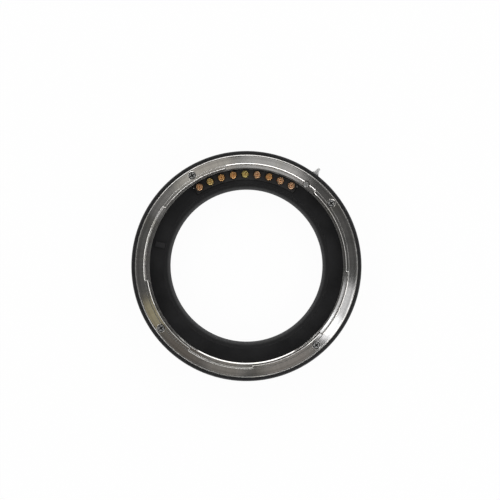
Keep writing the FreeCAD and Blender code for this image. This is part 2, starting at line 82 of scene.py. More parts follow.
def keep_tone(mesh, tone):
    """Attribute with a tone, one number for each point of the mesh."""
    values = mesh.attributes.new("tone", "FLOAT", "POINT")
    values.data.foreach_set("value", np.ravel(tone).astype(np.float32))


def add_object(name, data):
    """Object at the origin, linked into the scene."""
    item = bpy.data.objects.new(name, data)
    bpy.context.scene.collection.objects.link(item)
    return item


def make_piece(name, grids, tone=None, closed_profile=False):
    """Mesh from grids of points in millimetres. Points that fall together are merged, which closes
    poles and seams, and the faces are turned outwards."""
    made = [grid_faces(*grid.shape[:2], closed_profile) for grid in grids]
    starts = np.cumsum([0] + [grid.shape[0] * grid.shape[1] for grid in grids[:-1]])
    points = np.concatenate([grid.reshape(-1, 3) for grid in grids]) * MM
    faces = np.concatenate([quads + start for (quads, _), start in zip(made, starts)])
    mesh = bpy.data.meshes.new(name)
    mesh.from_pydata(points, [], faces.tolist())
    uv_map = mesh.uv_layers.new(name="turning")
    uv_map.data.foreach_set("uv", np.concatenate([uv for _, uv in made]).ravel().astype(np.float32))
    if tone is not None:
        keep_tone(mesh, tone)
    work = bmesh.new()
    work.from_mesh(mesh)
    bmesh.ops.remove_doubles(work, verts=work.verts, dist=MERGE_DISTANCE)
    bmesh.ops.recalc_face_normals(work, faces=work.faces)
    work.to_mesh(mesh)
    work.free()
    return add_object(name, mesh)


# %% [markdown]
# ## Profiles with softened corners
# No machined edge is perfectly sharp: it is broken with a file or by the plating, and that thin line is
# what shines. A Bevel modifier could do this, but here the corner is known when the profile is drawn,
# so each corner becomes a short curve. Two extra points beside it keep the flat faces flat when shaded.

# %% Profile helpers
def softened(corners, reach, closed=False, steps=4):
    """Profile with softened corners. Each corner C gives way to the curve (1 - s)^2 A + 2s(1 - s) C +
    s^2 B from A, a reach before the corner, to B, a reach after it, at most 0.35 of the side it lies
    on."""
    corners = np.asarray(corners, float)
    before = np.roll(corners, 1, axis=-2)
    after = np.roll(corners, -1, axis=-2)
    if not closed:
        before[..., 0, :] = corners[..., 0, :]
        after[..., -1, :] = corners[..., -1, :]

    def towards(other, distance, most):
        side = other - corners
        length = np.maximum(np.linalg.norm(side, axis=-1, keepdims=True), 1e-9)
        return (corners + side * np.minimum(distance / length, most))[..., None, :]

    s = np.linspace(0, 1, steps)[:, None]
    start = towards(before, reach, 0.35)
    end = towards(after, reach, 0.35)
    curve = (1 - s) ** 2 * start + 2 * s * (1 - s) * corners[..., None, :] + s ** 2 * end
    held = [towards(before, 1.6 * reach, 0.42), curve, towards(after, 1.6 * reach, 0.42)]
    return np.concatenate(held, axis=-2).reshape(*corners.shape[:-2], -1, 2)


def turned(profile, angles, spot=(0.0, 0.0)):
    """Turned surface: (x + r cos a, y + r sin a, z) for each angle a of the path and each (r, z) of the
    profile. The profile may be one for all angles or one for each."""
    profile = np.broadcast_to(profile, (len(angles),) + np.shape(profile)[-2:])
    turn = np.radians(angles)[:, None]
    radius, height = profile[..., 0], profile[..., 1]
    return np.stack([spot[0] + radius * np.cos(turn), spot[1] + radius * np.sin(turn), height], -1)


def polar(radius, angle):
    """Point in plan at a radius and an angle in degrees round the tube."""
    return np.array([radius * math.cos(math.radians(angle)), radius * math.sin(math.radians(angle))])


def round_angles(count):
    """Evenly spread angles of a full turn, in degrees, without the last that equals the first."""
    return np.arange(count) * 360.0 / count


def turned_at(profile, radius, angles, count=48, start=0):
    """Equal turned surfaces at several angles on a circle round the tube."""
    return [turned(profile, round_angles(count) + start, polar(radius, angle)) for angle in angles]


# %% [markdown]
# ## Cutting, joining and handing over
# Screw seats and pin holes are drilled after turning, and the Boolean modifier does the same: a cutter,
# itself a turned surface, is taken out of the piece, and the result becomes the piece's mesh at once. A
# finished piece is then handed to the frame: it rides on a body, gets its finish and stands for its
# solid.

# %% Boolean and hand-over helpers
CREASE = math.radians(40)


def combine(piece, grids, operation="DIFFERENCE"):
    """Takes the shape of the grids out of the piece, or joins it on with UNION."""
    other = make_piece("tool", grids)
    modifier = piece.modifiers.new(operation.lower(), "BOOLEAN")
    modifier.operation = operation
    modifier.solver = "EXACT"
    modifier.object = other
    depsgraph = bpy.context.evaluated_depsgraph_get()
    mesh = bpy.data.meshes.new_from_object(piece.evaluated_get(depsgraph), depsgraph=depsgraph)
    piece.modifiers.clear()
    piece.data = mesh
    bpy.data.objects.remove(other)


def hand_over(piece, finish, body, slot, *nodes):
    """Shades the piece smooth up to the crease, gives it its finish and puts it in its node's place."""
    piece.data.shade_smooth()
    piece.data.set_sharp_from_angle(angle=CREASE)
    piece.data.materials.clear()
    piece.data.materials.append(finish)
    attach(piece, body)
    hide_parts(*nodes)
    piece.data.calc_loop_triangles()
    print(piece.name, "stands for", ", ".join(nodes), "with", len(piece.data.loop_triangles), "triangles")


# %% [markdown]
# ## Node helpers for the finishes
# A finish is a small node tree round one Principled BSDF. What is the same all over is set straight on
# the shader's sockets, and only what varies gets a node. Patterns read Object coordinates, so they stay
# with the piece when it moves. Some points carry a tone, a number from 0 to 1 that each finish reads in
# its own way: as painted shade or painted light, as wear, or as a hue.

# %% Material and node helpers
def socket_of(shader, key):
    """Shader's socket by its name in small letters with underscores."""
    return shader.inputs[key.replace("_", " ").title().replace("Ior", "IOR")]


def new_finish(name, **values):
    """Material with a Principled BSDF whose plain values are set on its own sockets."""
    material = bpy.data.materials.new(name)
    material.use_nodes = True
    shader = material.node_tree.nodes["Principled BSDF"]
    for key, value in values.items():
        socket_of(shader, key).default_value = value
    print("finish", name)
    return material, material.node_tree, shader


def feed(tree, shader, **outputs):
    """Links outputs of nodes to the shader's sockets."""
    for key, output in outputs.items():
        tree.links.new(output, socket_of(shader, key))


def add_node(tree, kind, inputs=(), **settings):
    """Node with its settings, whose inputs are plain values or links to other nodes' outputs."""
    node = tree.nodes.new("ShaderNode" + kind)
    for key, value in settings.items():
        setattr(node, key, value)
    for socket, value in dict(inputs).items():
        if isinstance(value, bpy.types.NodeSocket):
            tree.links.new(value, node.inputs[socket])
        else:
            node.inputs[socket].default_value = value
    return node


def object_place(tree):
    """Object coordinates."""
    return add_node(tree, "TexCoord").outputs["Object"]


def tone_of(tree):
    """Tone of the points, 0 where they carry none."""
    return add_node(tree, "Attribute", attribute_name="tone").outputs["Fac"]


# %% [markdown]
# ## Patterns and sums in nodes
# Most finishes need the same few things: a sum, a stretched range, a ramp of colours, a noise, a fine
# bump. A node group could hold each of them, but a function that adds the nodes is shorter and takes
# its numbers plainly.

# %% Pattern helpers
def calc(tree, operation, first, second):
    """Result of a Math node."""
    return add_node(tree, "Math", {0: first, 1: second}, operation=operation).outputs["Value"]


def times(tree, first, second):
    """Two vectors or colours multiplied part by part."""
    return add_node(tree, "VectorMath", {0: first, 1: second}, operation="MULTIPLY").outputs["Vector"]


def remap(tree, value, low, high, start=0.0, end=1.0):
    """Range from start to end, stretched to low and high."""
    inputs = {"Value": value, "From Min": start, "From Max": end, "To Min": low, "To Max": high}
    return add_node(tree, "MapRange", inputs).outputs["Result"]


def spread(tree, value, low, high):
    """Range of 0.3 to 0.7, where a noise mostly lies, stretched to low and high."""
    return remap(tree, value, low, high, 0.3, 0.7)


def ramp(tree, factor, stops):
    """Colour ramp through (place, colour) stops."""
    node = add_node(tree, "ValToRGB", {"Fac": factor})
    points = node.color_ramp.elements
    points[0].position, points[0].color = stops[0][0], (*stops[0][1], 1)
    points[1].position, points[1].color = stops[-1][0], (*stops[-1][1], 1)
    for place, colour in stops[1:-1]:
        points.new(place).color = (*colour, 1)
    return node.outputs["Color"]


def noise(tree, vector, scale, detail, dimensions="3D"):
    """Noise value at a vector, with a scale per metre."""
    inputs = {"Scale": scale, "Detail": detail}
    inputs["W" if dimensions == "1D" else "Vector"] = vector
    return add_node(tree, "TexNoise", inputs, noise_dimensions=dimensions).outputs["Fac"]


def bump(tree, shader, height, distance):
    """Bump of a real height in metres on the shader's normal."""
    node = add_node(tree, "Bump", {"Height": height, "Distance": distance})
    feed(tree, shader, normal=node.outputs["Normal"])


def lathe_coordinates(tree):
    """Object coordinates, the distance from the tube's axis and the direction round it, as three
    sockets."""
    place = object_place(tree)
    flat = times(tree, place, (1, 1, 0))
    radius = add_node(tree, "VectorMath", {0: flat}, operation="LENGTH").outputs["Value"]
    direction = add_node(tree, "VectorMath", {0: flat}, operation="NORMALIZE").outputs["Vector"]
    return place, radius, direction


# %% [markdown]
# ## Turned satin chrome
# The bayonets are brass, faced on a lathe and chromed. The tool leaves rings far finer than a hair, so
# the metal shines in bright and dark sectors that change with the direction round the axis. That is an
# anisotropic shader: rough across the rings, smoother along them. The Tangent node takes U, across the
# rings, from the piece's own UV map. A ring pattern over the radius gives the fine lines, a slow noise
# over the direction warms the plating here and there, and a quick one gives the fine streaks.

# %% Chrome
def make_chrome():
    """Chrome: rings from a 1-D noise over the radius, tints and streaks from noises over the direction.
    Over the radius, from 38 to 42 mm, it is darker round 40.4, and a little brighter on the outer
    bevel, a painted highlight on its edge line. Where the points carry a tone the colour is darker,
    painted shade, and the metal rougher."""
    material, tree, shader = new_finish("turned_chrome", metallic=1.0, anisotropic=0.95)
    place, radius, direction = lathe_coordinates(tree)
    sectors = noise(tree, direction, 2.6, 3.0)
    streaks = noise(tree, direction, 38.0, 4.0)
    smudges = noise(tree, place, 160.0, 4.0)
    rings = noise(tree, radius, 4200.0, 6.0, "1D")
    tint = ramp(tree, sectors, [(0.3, (0.67, 0.645, 0.58)), (0.45, (0.725, 0.715, 0.69)),
                                (0.6, (0.745, 0.72, 0.695)), (0.75, (0.705, 0.69, 0.625))])
    across = remap(tree, radius, 0.0, 1.0, 0.038, 0.042)
    # Darker round 40.4 mm; on the outer bevel a painted highlight lifts the colour to 1.1.
    grey_stops = [(0.0, 1.0), (0.42, 1.0), (0.6, 0.78), (0.76, 1.0), (0.83, 1.0), (0.87, 1.1)]
    tint = times(tree, tint, ramp(tree, across, [(stop, (grey,) * 3) for stop, grey in grey_stops]))
    tone = tone_of(tree)
    shade = calc(tree, "MULTIPLY", calc(tree, "ADD", streaks, smudges), 0.5)
    # Painted shade: the tone darkens the colour down to 0.3, and it makes the metal rougher too.
    shade = calc(tree, "MULTIPLY", spread(tree, shade, 0.84, 1.12), remap(tree, tone, 1.0, 0.3))
    colour = add_node(tree, "VectorMath", {0: tint, "Scale": shade}, operation="SCALE").outputs["Vector"]
    polish = spread(tree, smudges, 0.09, 0.115)
    dull = calc(tree, "MAXIMUM", polish, calc(tree, "MULTIPLY", tone, 0.6))
    tangent = add_node(tree, "Tangent", direction_type="UV_MAP", uv_map="turning").outputs["Tangent"]
    feed(tree, shader, base_color=colour, roughness=dull, tangent=tangent)
    bump(tree, shader, rings, 0.0000005)
    return material


chrome = make_chrome()

# %% [markdown]
# ## The lens bayonet's outline
# The lens bayonet is a ring with four tabs that reach inwards over the lens's lugs. Seen from above,
# its inner edge steps between two radii. The mill leaves a small round in each inner corner, and each
# corner of a tab is rounded too. Complex numbers suit such a plan: a point is a distance times a turn,
# and the mirror image of a tab's end is its conjugate. The same outline, the other way out, later gives
# the camera bayonet's lugs.

# %% Bayonet outline
def spun(degrees):
    """Turn by an angle, as a complex number of length 1."""
    return np.exp(1j * np.radians(degrees))


def bayonet_outline(sectors, root, tip, corner, fillet):
    """Closed outline in plan: the root circle in the gaps, the tip circle on the tabs. At a tab's end
    lies first the fillet, a circle in the gap that touches the root and the end, then the corner, a
    circle in the tab that touches the end and the tip."""
    way = math.copysign(1.0, root - tip)
    gap_centre = root - way * fillet
    tab_centre = tip + way * corner
    gap_swing = math.asin(fillet / gap_centre)
    tab_swing = math.asin(corner / tab_centre)
    t = np.linspace(0, math.pi / 2 + way * gap_swing, 7)
    fillet_curve = gap_centre + way * fillet * np.cos(t) + 1j * fillet * np.sin(t)
    t = np.linspace(math.pi / 2 - way * tab_swing, 0, 9)
    corner_curve = tab_centre - way * corner * np.cos(t) - 1j * corner * np.sin(t)
    tab_end = np.concatenate([fillet_curve * np.exp(-1j * gap_swing),
                              corner_curve * np.exp(1j * tab_swing)])
    gap_swing, tab_swing = math.degrees(gap_swing), math.degrees(tab_swing)
    pieces = []
    for (start, end), (next_start, _) in zip(sectors, sectors[1:] + [(sectors[0][0] + 360, 0)]):
        tip_angles = np.linspace(start + tab_swing, end - tab_swing, int((end - start) * 1.5))[1:-1]
        gap_count = int((next_start - end) * 1.5)
        gap_angles = np.linspace(end + gap_swing, next_start - gap_swing, gap_count)[1:-1]
        pieces += [tab_end * spun(start), tip * spun(tip_angles)]
        pieces += [np.conj(tab_end)[::-1] * spun(end), root * spun(gap_angles)]
    return np.concatenate(pieces)


def outward_normals(outline):
    """Unit normals of an outline that runs anticlockwise: the mean of both sides' directions, turned
    right."""
    side = np.roll(outline, -1) - outline
    side = side / np.abs(side)
    mean = side + np.roll(side, 1)
    return -1j * mean / np.abs(mean)


throat = 38.2
tab_sectors = [(-3.25, 47.5), (102.0, 144.5), (188.0, 235.5), (273.5, 318.0)]
tab_outline = bayonet_outline(tab_sectors, root=throat, tip=37.16, corner=0.4, fillet=0.25)
print("lens bayonet outline:", len(tab_outline), "points")

# %% [markdown]
# ## The lens bayonet ring
# The ring is built from loops. Outside they are circles: the wall, the bevel and the register face that
# the lens sits on. Inside they follow the outline, set back by a bevel's width, so the thin bright
# bevel runs round every tab without a break. Below the tabs the loops are circles again: throat, lip
# and foot. The tabs lie 0.2 mm below the register face, so that only the face itself touches the lens.

# %% Lens bayonet ring
face, tab_foot, lip_top, ring_foot = 17.3, 15.8, 12.8, 11.9
ring_radius, lip_radius = 41.6, 36.45
slope_start, slope_drop = 38.4, 0.2
tab_share = np.clip((throat - np.abs(tab_outline)) / 0.1, 0, 1)[:, None]


def face_height(radius):
    """Height of the face: on the tabs it falls at 45 degrees from the slope's start to the throat."""
    return face - tab_share * np.clip(slope_start - radius, 0, slope_drop)


def lifted(plan, heights):
    """Points of a plan in complex numbers at their heights."""
    return np.stack([plan.real, plan.imag, np.broadcast_to(heights, plan.shape)], -1)


def angles_of(plan):
    """Angles round the tube, in degrees, of a plan in complex numbers."""
    return np.degrees(np.angle(plan))


edge_profile = softened([(0.33, 0), (0.2, 0), (0, 0.2), (0, 0.5), (0, 5)], 0.03)
setback = tab_outline[:, None] + outward_normals(tab_outline)[:, None] * edge_profile[:, 0]
edge_loops = lifted(setback, np.maximum(face_height(np.abs(setback)) - edge_profile[:, 1], tab_foot))

first_loop = setback[:, :1]
least_radius = np.abs(first_loop) + (0.1, 0.08, 0.06, 0.04, 0.02)
step_radius = np.maximum((38.6, 38.44, slope_start, throat, 38.16), least_radius)
step_loops = lifted(step_radius * first_loop / np.abs(first_loop), face_height(step_radius))

wall_reach = np.array([[0.05], [0.08], [0.45], [0.05]])
wall_corners = [(ring_radius, ring_foot), (ring_radius, 17.05), (41.35, face), (39.5, face)]
wall_loops = turned(softened(wall_corners, wall_reach), angles_of(first_loop[:, 0]))
throat_corners = [(throat, tab_foot), (throat, lip_top), (36.9, lip_top), (lip_radius, 12.45),
                  (lip_radius, ring_foot)]
throat_loops = turned(softened(throat_corners, 0.05), angles_of(tab_outline))
ring_grid = np.concatenate([wall_loops, step_loops, edge_loops, throat_loops], axis=1)
lens_bayonet = make_piece("lens_bayonet", [ring_grid], closed_profile=True)
print("lens bayonet ring:", len(lens_bayonet.data.vertices), "points")

# %% [markdown]
# ## Screw seats and pin holes
# Four stepped seats hold the screws, with a touch of countersink that shines as a thin ring. The lock
# pin has a hole that breaks through the throat wall, and the stop pin a small one in the lip. The
# cutters are turned profiles that reach a little past the faces they cut, so no two faces lie in one
# plane.

# %% Drill the lens bayonet
def plain_drill(radius, low, high, spot):
    """Cutter of one radius from a low to a high end."""
    return turned([(0, high), (radius, high), (radius, low), (0, low)], round_angles(64), spot)


front_screw_circle = 39.4
front_screw_angles = [36.5, 120.9, 216.0, 311.5]
seat_profile = [(0, 17.8), (2.05, 17.8), (1.45, 17.2), (1.45, 16.2), (0.77, 16.2), (0.77, 11.4), (0, 11.4)]
combine(lens_bayonet, turned_at(seat_profile, front_screw_circle, front_screw_angles, 64))
lock_circle, lock_angle = 37.9, 53.8
lock_spot = polar(lock_circle, lock_angle)
stop_spot = polar(37.65, 188.649)
combine(lens_bayonet, [plain_drill(1.25, 11.4, 17.9, lock_spot), plain_drill(0.52, 11.4, 13.4, stop_spot)])
print("drilled lens bayonet:", len(lens_bayonet.data.vertices), "points")

# %% [markdown]
# ## Painted shade on the chrome
# The throat's wall, but for the gap round 337 degrees, the lip's bevel away from the bottom, the slope
# down to each tab and the outer bevel get painted shade: a darker colour where they lie in shade or
# mirror something dark, and a rougher finish too. A painted mask could hold it, but these places are
# known by their radius, height and angle, so every point gets its tone from a rule. On the outer bevel
# the tone changes with the angle.

# %% Tones of the lens bayonet
# Painted shade: tones for each tab's slope and edge, and for the outer bevel by angle.
slope_tones = [0.65, 0.5, 1.0, 1.0]
edge_tones = [0.0, 0.3, 0.0, 0.0]
rim_angles = [0, 20, 36, 48, 64, 122, 148, 172, 192, 204,
              217, 224, 270, 280, 298, 314, 320, 336, 348, 356]
rim_tones = [0.75, 0.92, 0.75, 0.85, 0.1, 0.1, 0.65, 0.9, 0.9, 0.3,
             0.3, 0.75, 0.8, 0.6, 0.65, 0.85, 0.0, 0.0, 0.5, 0.85]


def set_tone(piece, rule):
    """Tone that the rule gives for each point of the piece, in millimetres."""
    points = np.empty(len(piece.data.vertices) * 3, np.float32)
    piece.data.vertices.foreach_get("co", points)
    keep_tone(piece.data, rule(points.reshape(-1, 3) / MM))


def away_from(angle, middle):
    """Angles' distance in degrees from a middle one, the short way round."""
    return np.abs((angle - middle + 180) % 360 - 180)


def painted_shade_places(points):
    """Tone of painted shade: by tab on its slope, between the radii 38.19 and 38.41, and on its bevelled
    edge, within 37.5. Tone 1 on the throat's wall, from 13 to 16.9, but 0 on the wall of the gap round
    337 degrees. Tone 1 too on the lip's bevel, more than 38 degrees from 272. Past the radius 41.3, on the
    outer bevel, it follows the angle."""
    radius = np.hypot(points[:, 0], points[:, 1])
    height = points[:, 2]
    angle = np.degrees(np.arctan2(points[:, 1], points[:, 0]))
    on_tabs = np.array([(angle - start) % 360 < end - start for start, end in tab_sectors])
    slope = (slope_tones @ on_tabs) * ((radius > 38.19) & (radius < 38.41) & (height > 17.0))
    edge = (edge_tones @ on_tabs) * ((radius < 37.5) & (height > 16.9))
    wall = (height > 13) & (height < 16.9) & (away_from(angle, 337.3) > 19.2)
    bevel = ((height < 12.83) & (radius < 36.95)) * np.clip((away_from(angle, 272) - 38) / 10, 0, 1)
    rim = np.interp(angle, rim_angles, rim_tones, period=360) * (radius > 41.3)
    return np.maximum.reduce([slope, edge, wall, bevel, rim])


set_tone(lens_bayonet, painted_shade_places)
hand_over(lens_bayonet, chrome, "tube", "bright_chrome", "front_bayonet")

# %% [markdown]
# ## Screws with a cross recess
# Small pan heads hold both bayonets and the rear cover. A head is a height over the plan, so a polar
# grid suits it: the height at each point is the flat top less the depth of the recess. The recess is a
# cross of two arms with sloping walls. The depth is kept as a tone on the points, which paints shade
# into the recess, and the head's edge gets the same painted shade, where the seat round it lies in
# shade.

# %% Screw surface
def smooth_step(value):
    """Value held between 0 and 1 and eased at both ends: t t (3 - 2t)."""
    held = np.clip(value, 0, 1)
    return held * held * (3 - 2 * held)


def screw_grid(head, height, shank, length):
    """Screw with its head's top at 0, over (r, a). Inside the cross by e, the larger for the two arms
    of min(arm length - |x|, arm width - |y|), the depth is 0.55 of the head's height times the eased e
    / 0.1. The tone is the larger of the eased depth and an edge that rises from 0.74 to 0.86 of the
    head's radius."""
    bevel = 0.25 * height
    tail = -height - length
    disc = np.linspace(0, head - bevel, 34)[:-1]
    side = softened([(head - bevel, 0), (head, -bevel), (head, -height), (shank, -height),
                     (shank, tail + 0.25), (shank - 0.25, tail), (0, tail)], 0.04)
    radius = np.concatenate([disc, side[:, 0]])
    level = np.concatenate([np.zeros_like(disc), side[:, 1]])
    turn = np.radians(round_angles(96))[:, None]
    x = radius * np.cos(turn)
    y = radius * np.sin(turn)
    arm = 0.65 * head
    half_width = 0.16 * head
    along_x = np.minimum(arm - np.abs(x), half_width - np.abs(y))
    along_y = np.minimum(arm - np.abs(y), half_width - np.abs(x))
    # Painted shade: the tone darkens the recess, inside the cross, and the head's edge.
    inside = smooth_step(np.maximum(along_x, along_y) / 0.1 + 0.2)
    depth = np.where(np.arange(len(radius)) < len(disc), 0.55 * height * inside, 0)
    edge = 0.9 * smooth_step((radius / head - 0.74) / 0.12)
    return np.stack([x, y, level - depth], -1), np.maximum(inside, edge)


# %% [markdown]
# ## Copies round the tube
# Screws, pins and springs stand at several angles. Linked copies with their own places would do in a
# still picture, but here every object stays at the origin, so that it can ride on its body, and each
# copy's points are turned and moved before the mesh is made.

# %% Placing helpers
def placed(grid, angle, radius, height, from_rear=False):
    """Grid made about the Z axis, turned over if it faces the camera, then turned to its angle and
    moved out to its radius and up to its height."""
    flip = np.array([1.0, -1.0, -1.0]) if from_rear else np.ones(3)
    cos, sin = math.cos(math.radians(angle)), math.sin(math.radians(angle))
    about = np.array([(cos, sin, 0), (-sin, cos, 0), (0, 0, 1)])
    return (grid * flip) @ about + np.array([*polar(radius, angle), height])


def make_screws(name, sizes, angles, radius, height, from_rear=False):
    """Equal screws round the tube, as one piece."""
    grid, tone = screw_grid(**sizes)
    grids = [placed(grid, angle, radius, height, from_rear) for angle in angles]
    return make_piece(name, grids, np.tile(tone[None], (len(angles), 1, 1)))


# %% [markdown]
# ## Screw steel
# The screws are plain steel with a thin bright plating, a little darker than the chrome round them. The
# tone from the grid paints shade into the recess and round the head's edge, which is simpler than a
# second material, and a fine noise breaks up the shine.

# %% Screws of the lens bayonet
def make_screw_steel(name, bright, dark):
    """Metal between a bright colour on the head and a dark one, painted shade, in the recess and round the
    edge, by the tone on the points."""
    material, tree, shader = new_finish(name, metallic=1.0)
    grain = noise(tree, object_place(tree), 5200.0, 3.0)
    feed(tree, shader, base_color=ramp(tree, tone_of(tree), [(0.1, bright), (0.8, dark)]),
         roughness=spread(tree, grain, 0.3, 0.46))
    bump(tree, shader, grain, 0.000008)
    return material


screw_steel = make_screw_steel("screw_steel", (0.5, 0.5, 0.49), (0.02, 0.02, 0.02))
lens_screw = dict(head=1.4, height=0.8, shank=0.75, length=7.7)
lens_screws = make_screws("lens_bayonet_screws", lens_screw, front_screw_angles, front_screw_circle, 17.0)
hand_over(lens_screws, screw_steel, "tube", "screw_steel", "front_bayonet_screws")

# %% [markdown]
# ## Black anodised barrel
# The barrel is aluminium, turned, etched and anodised black. The etch gives it a satin skin, and the
# turning still shows as very faint rings. Where the rim is handled, the edges wear to a slightly
# lighter grey: the corners of the profile carry a tone for that. A noise over the radius and the height
# draws the rings on the flat rim and on the outer wall alike.

# %% Anodised finish
def make_anodised():
    """Satin black: rings from a noise over (radius, height), wear from the tone at the edges."""
    material, tree, shader = new_finish("black_anodised", metallic=0.0, specular_ior_level=0.35)
    place, radius, _ = lathe_coordinates(tree)
    height = add_node(tree, "SeparateXYZ", {"Vector": place}).outputs["Z"]
    section = add_node(tree, "CombineXYZ", {"X": radius, "Y": height}).outputs["Vector"]
    rings = noise(tree, section, 3800.0, 5.0)
    skin = noise(tree, place, 9000.0, 2.0)
    wear_and_light = noise(tree, place, 240.0, 4.0)
    amount = calc(tree, "MULTIPLY", tone_of(tree), spread(tree, wear_and_light, 0.15, 1.0))
    colour = ramp(tree, amount, [(0.0, (0.008, 0.008, 0.0085)), (1.0, (0.045, 0.045, 0.047))])
    feed(tree, shader, base_color=colour, roughness=spread(tree, wear_and_light, 0.34, 0.46))
    bump(tree, shader, calc(tree, "ADD", rings, skin), 0.000008)
    return material


anodised = make_anodised()

# %% [markdown]
# ## Slabs on an outline
# The lever's slot, the contact holders and a rib are not turned: they are slabs over an outline in
# plan. The outline is carried up from the bottom face to the top one, drawn in at both edges by a
# quarter round, and both faces close on a middle line. A sector of a ring is such a slab too: its
# outline is a rectangle bent round the axis.

# %% Outline helpers
def evenly(loop, count):
    """Points spread evenly along a closed loop, by its length from the first point."""
    closed = np.concatenate([loop, loop[:1]])
    length = np.concatenate([[0], np.cumsum(np.linalg.norm(np.diff(closed, axis=0), axis=1))])
    stations = np.arange(count) / count * length[-1]
    return np.stack([np.interp(stations, length, closed[:, axis]) for axis in range(2)], -1)


def flat_outline(length, width, corner, count):
    """Rectangle about the origin with softened corners, and the middle line its faces close on. It
    starts in the middle of a short end, so its two long sides have their points opposite each other."""
    x, y = length / 2, width / 2
    rounds = softened([(-x, y), (x, y), (x, -y), (-x, -y)], corner, closed=True, steps=7)
    loop = evenly(np.concatenate([[(-x, 0)], rounds]), count)
    spine = np.stack([np.clip(loop[:, 0], min(y - x, 0), max(x - y, 0)), np.zeros(count)], -1)
    return loop, spine


def bent(flat, radius, angle):
    """Flat points bent round the axis: x becomes an arc's length at the radius, y the distance
    outwards."""
    turn = math.radians(angle) + flat[:, 0] / radius
    reach = radius + flat[:, 1]
    return np.stack([reach * np.cos(turn), reach * np.sin(turn)], -1)


def sector_outline(inner, outer, start, end, corner=0.2):
    """Outline and middle line of a ring sector between two radii and two angles."""
    radius = (inner + outer) / 2
    flat = flat_outline(math.radians(end - start) * radius, outer - inner, corner, 480)
    return [bent(points, radius, (start + end) / 2) for points in flat]


# %% [markdown]
# ## From an outline to a slab
# A slab's wall is a stack of outlines at rising heights. A Solidify and a Bevel modifier would do for a
# plain slab, but a stack also lets two different walls stand on each other, as the contact holders
# need.

# %% Slab helpers
def side_wall(outline, low, high, edge, ends=(True, True)):
    """Wall of a slab as loops at rising heights. At turn t of a quarter round the outline is drawn in
    by edge (1 - sin t) and lies edge (1 - cos t) inside the face. Only the ends that are named are
    rounded."""
    ahead = np.roll(outline, -1, axis=0) - np.roll(outline, 1, axis=0)
    outward = np.stack([ahead[:, 1], -ahead[:, 0]], -1) / np.linalg.norm(ahead, axis=1, keepdims=True)
    centre_side = np.sum(outward * (outline - outline.mean(axis=0)))
    outward = outward * math.copysign(1.0, centre_side)
    t = np.linspace(0, math.pi / 2, 4)
    draw, rise = edge * (1 - np.sin(t)), edge * (1 - np.cos(t))
    insets = np.concatenate([draw if ends[0] else [0], [0], [0], draw[::-1] if ends[1] else [0]])
    heights = np.concatenate([low + rise if ends[0] else [low], [low + 2 * edge], [high - 2 * edge],
                              (high - rise)[::-1] if ends[1] else [high]])
    plan = outline[:, None] - outward[:, None] * insets[None, :, None]
    level = np.broadcast_to(heights[None, :, None], plan.shape[:2] + (1,))
    return np.concatenate([plan, level], -1)


def cap(spine, height):
    """Middle line of a slab's face, as one loop at a height."""
    return np.concatenate([spine, np.full((len(spine), 1), height)], -1)[:, None]


def slab(outline, spine, low, high, edge):
    """Closed slab: middle line below, wall, middle line above."""
    return np.concatenate([cap(spine, low), side_wall(outline, low, high, edge), cap(spine, high)], axis=1)


# %% [markdown]
# ## The barrel
# The barrel's profile goes round the whole section: rear recess, stepped outer wall with a fine groove,
# rim, front recess, the shelf that both bayonets are screwed to. The slot for the lever, the pockets
# for the lock and the contacts, and the threaded holes are cut afterwards, as in the workshop.

# %% Barrel
CUT_EDGE = 0.01
barrel_corners = [(40.8, 4.7), (42.15, 4.7), (42.5, 5.05), (42.5, 6.4), (43, 6.9), (43, 14.2),
                  (42.75, 14.45), (42.75, 14.95), (43, 15.2), (43, 16.55), (42.65, 16.9), (41.65, 16.9),
                  (41.65, 11.9), (36.9, 11.9), (36.9, 10.9), (35.85, 10.9), (35.85, 6.3), (40.8, 6.3)]
worn_corners = np.array([0, .5, .8, 0, .5, .3, 0, 0, .3, .8, 1, .5, 0, 0, 0, 0, 0, 0])
barrel_tone = np.outer(worn_corners, [0, 0.3, 1, 1, 0.3, 0]).ravel()
barrel_grid = turned(softened(barrel_corners, 0.06, closed=True), round_angles(480))
barrel = make_piece("turned_barrel", [barrel_grid], np.tile(barrel_tone, (len(barrel_grid), 1)),
                    closed_profile=True)

combine(barrel, [slab(*sector_outline(35.25, 37.16, lock_angle, 124.53, 0.05), 5.9, 10.92, CUT_EDGE)])
slot_outline, slot_spine = flat_outline(12, 2.3, 0.05, 96)
lever_slot = slab(slot_outline + (6, 0), slot_spine + (6, 0), 6.65, 10.65, CUT_EDGE)
combine(barrel, [placed(lever_slot, lock_angle, lock_circle, 0)])

rear_screw_circle = 39.35
rear_screw_angles = [75.0, 165.0, 250.0, 330.0]
threads = [plain_drill(0.77, 8.3, 12.2, polar(front_screw_circle, angle)) for angle in front_screw_angles]
threads += [plain_drill(0.62, 6.0, 9.5, polar(rear_screw_circle, angle)) for angle in rear_screw_angles]
combine(barrel, threads + [plain_drill(1.95, 6.0, 12.2, lock_spot)])
hand_over(barrel, anodised, "tube", "black_anodised", "barrel")

# %% [markdown]
# ## Matte black moulding
# The light baffle, the contact holders and the rear cover are moulded plastic with a sparked, matte
# skin that keeps stray light down. Straight on it is nearly black, and at a grazing angle it turns
# grey, which the shader's own Fresnel gives. Two sizes of grain make the bump, and a slow noise varies
# the sheen.

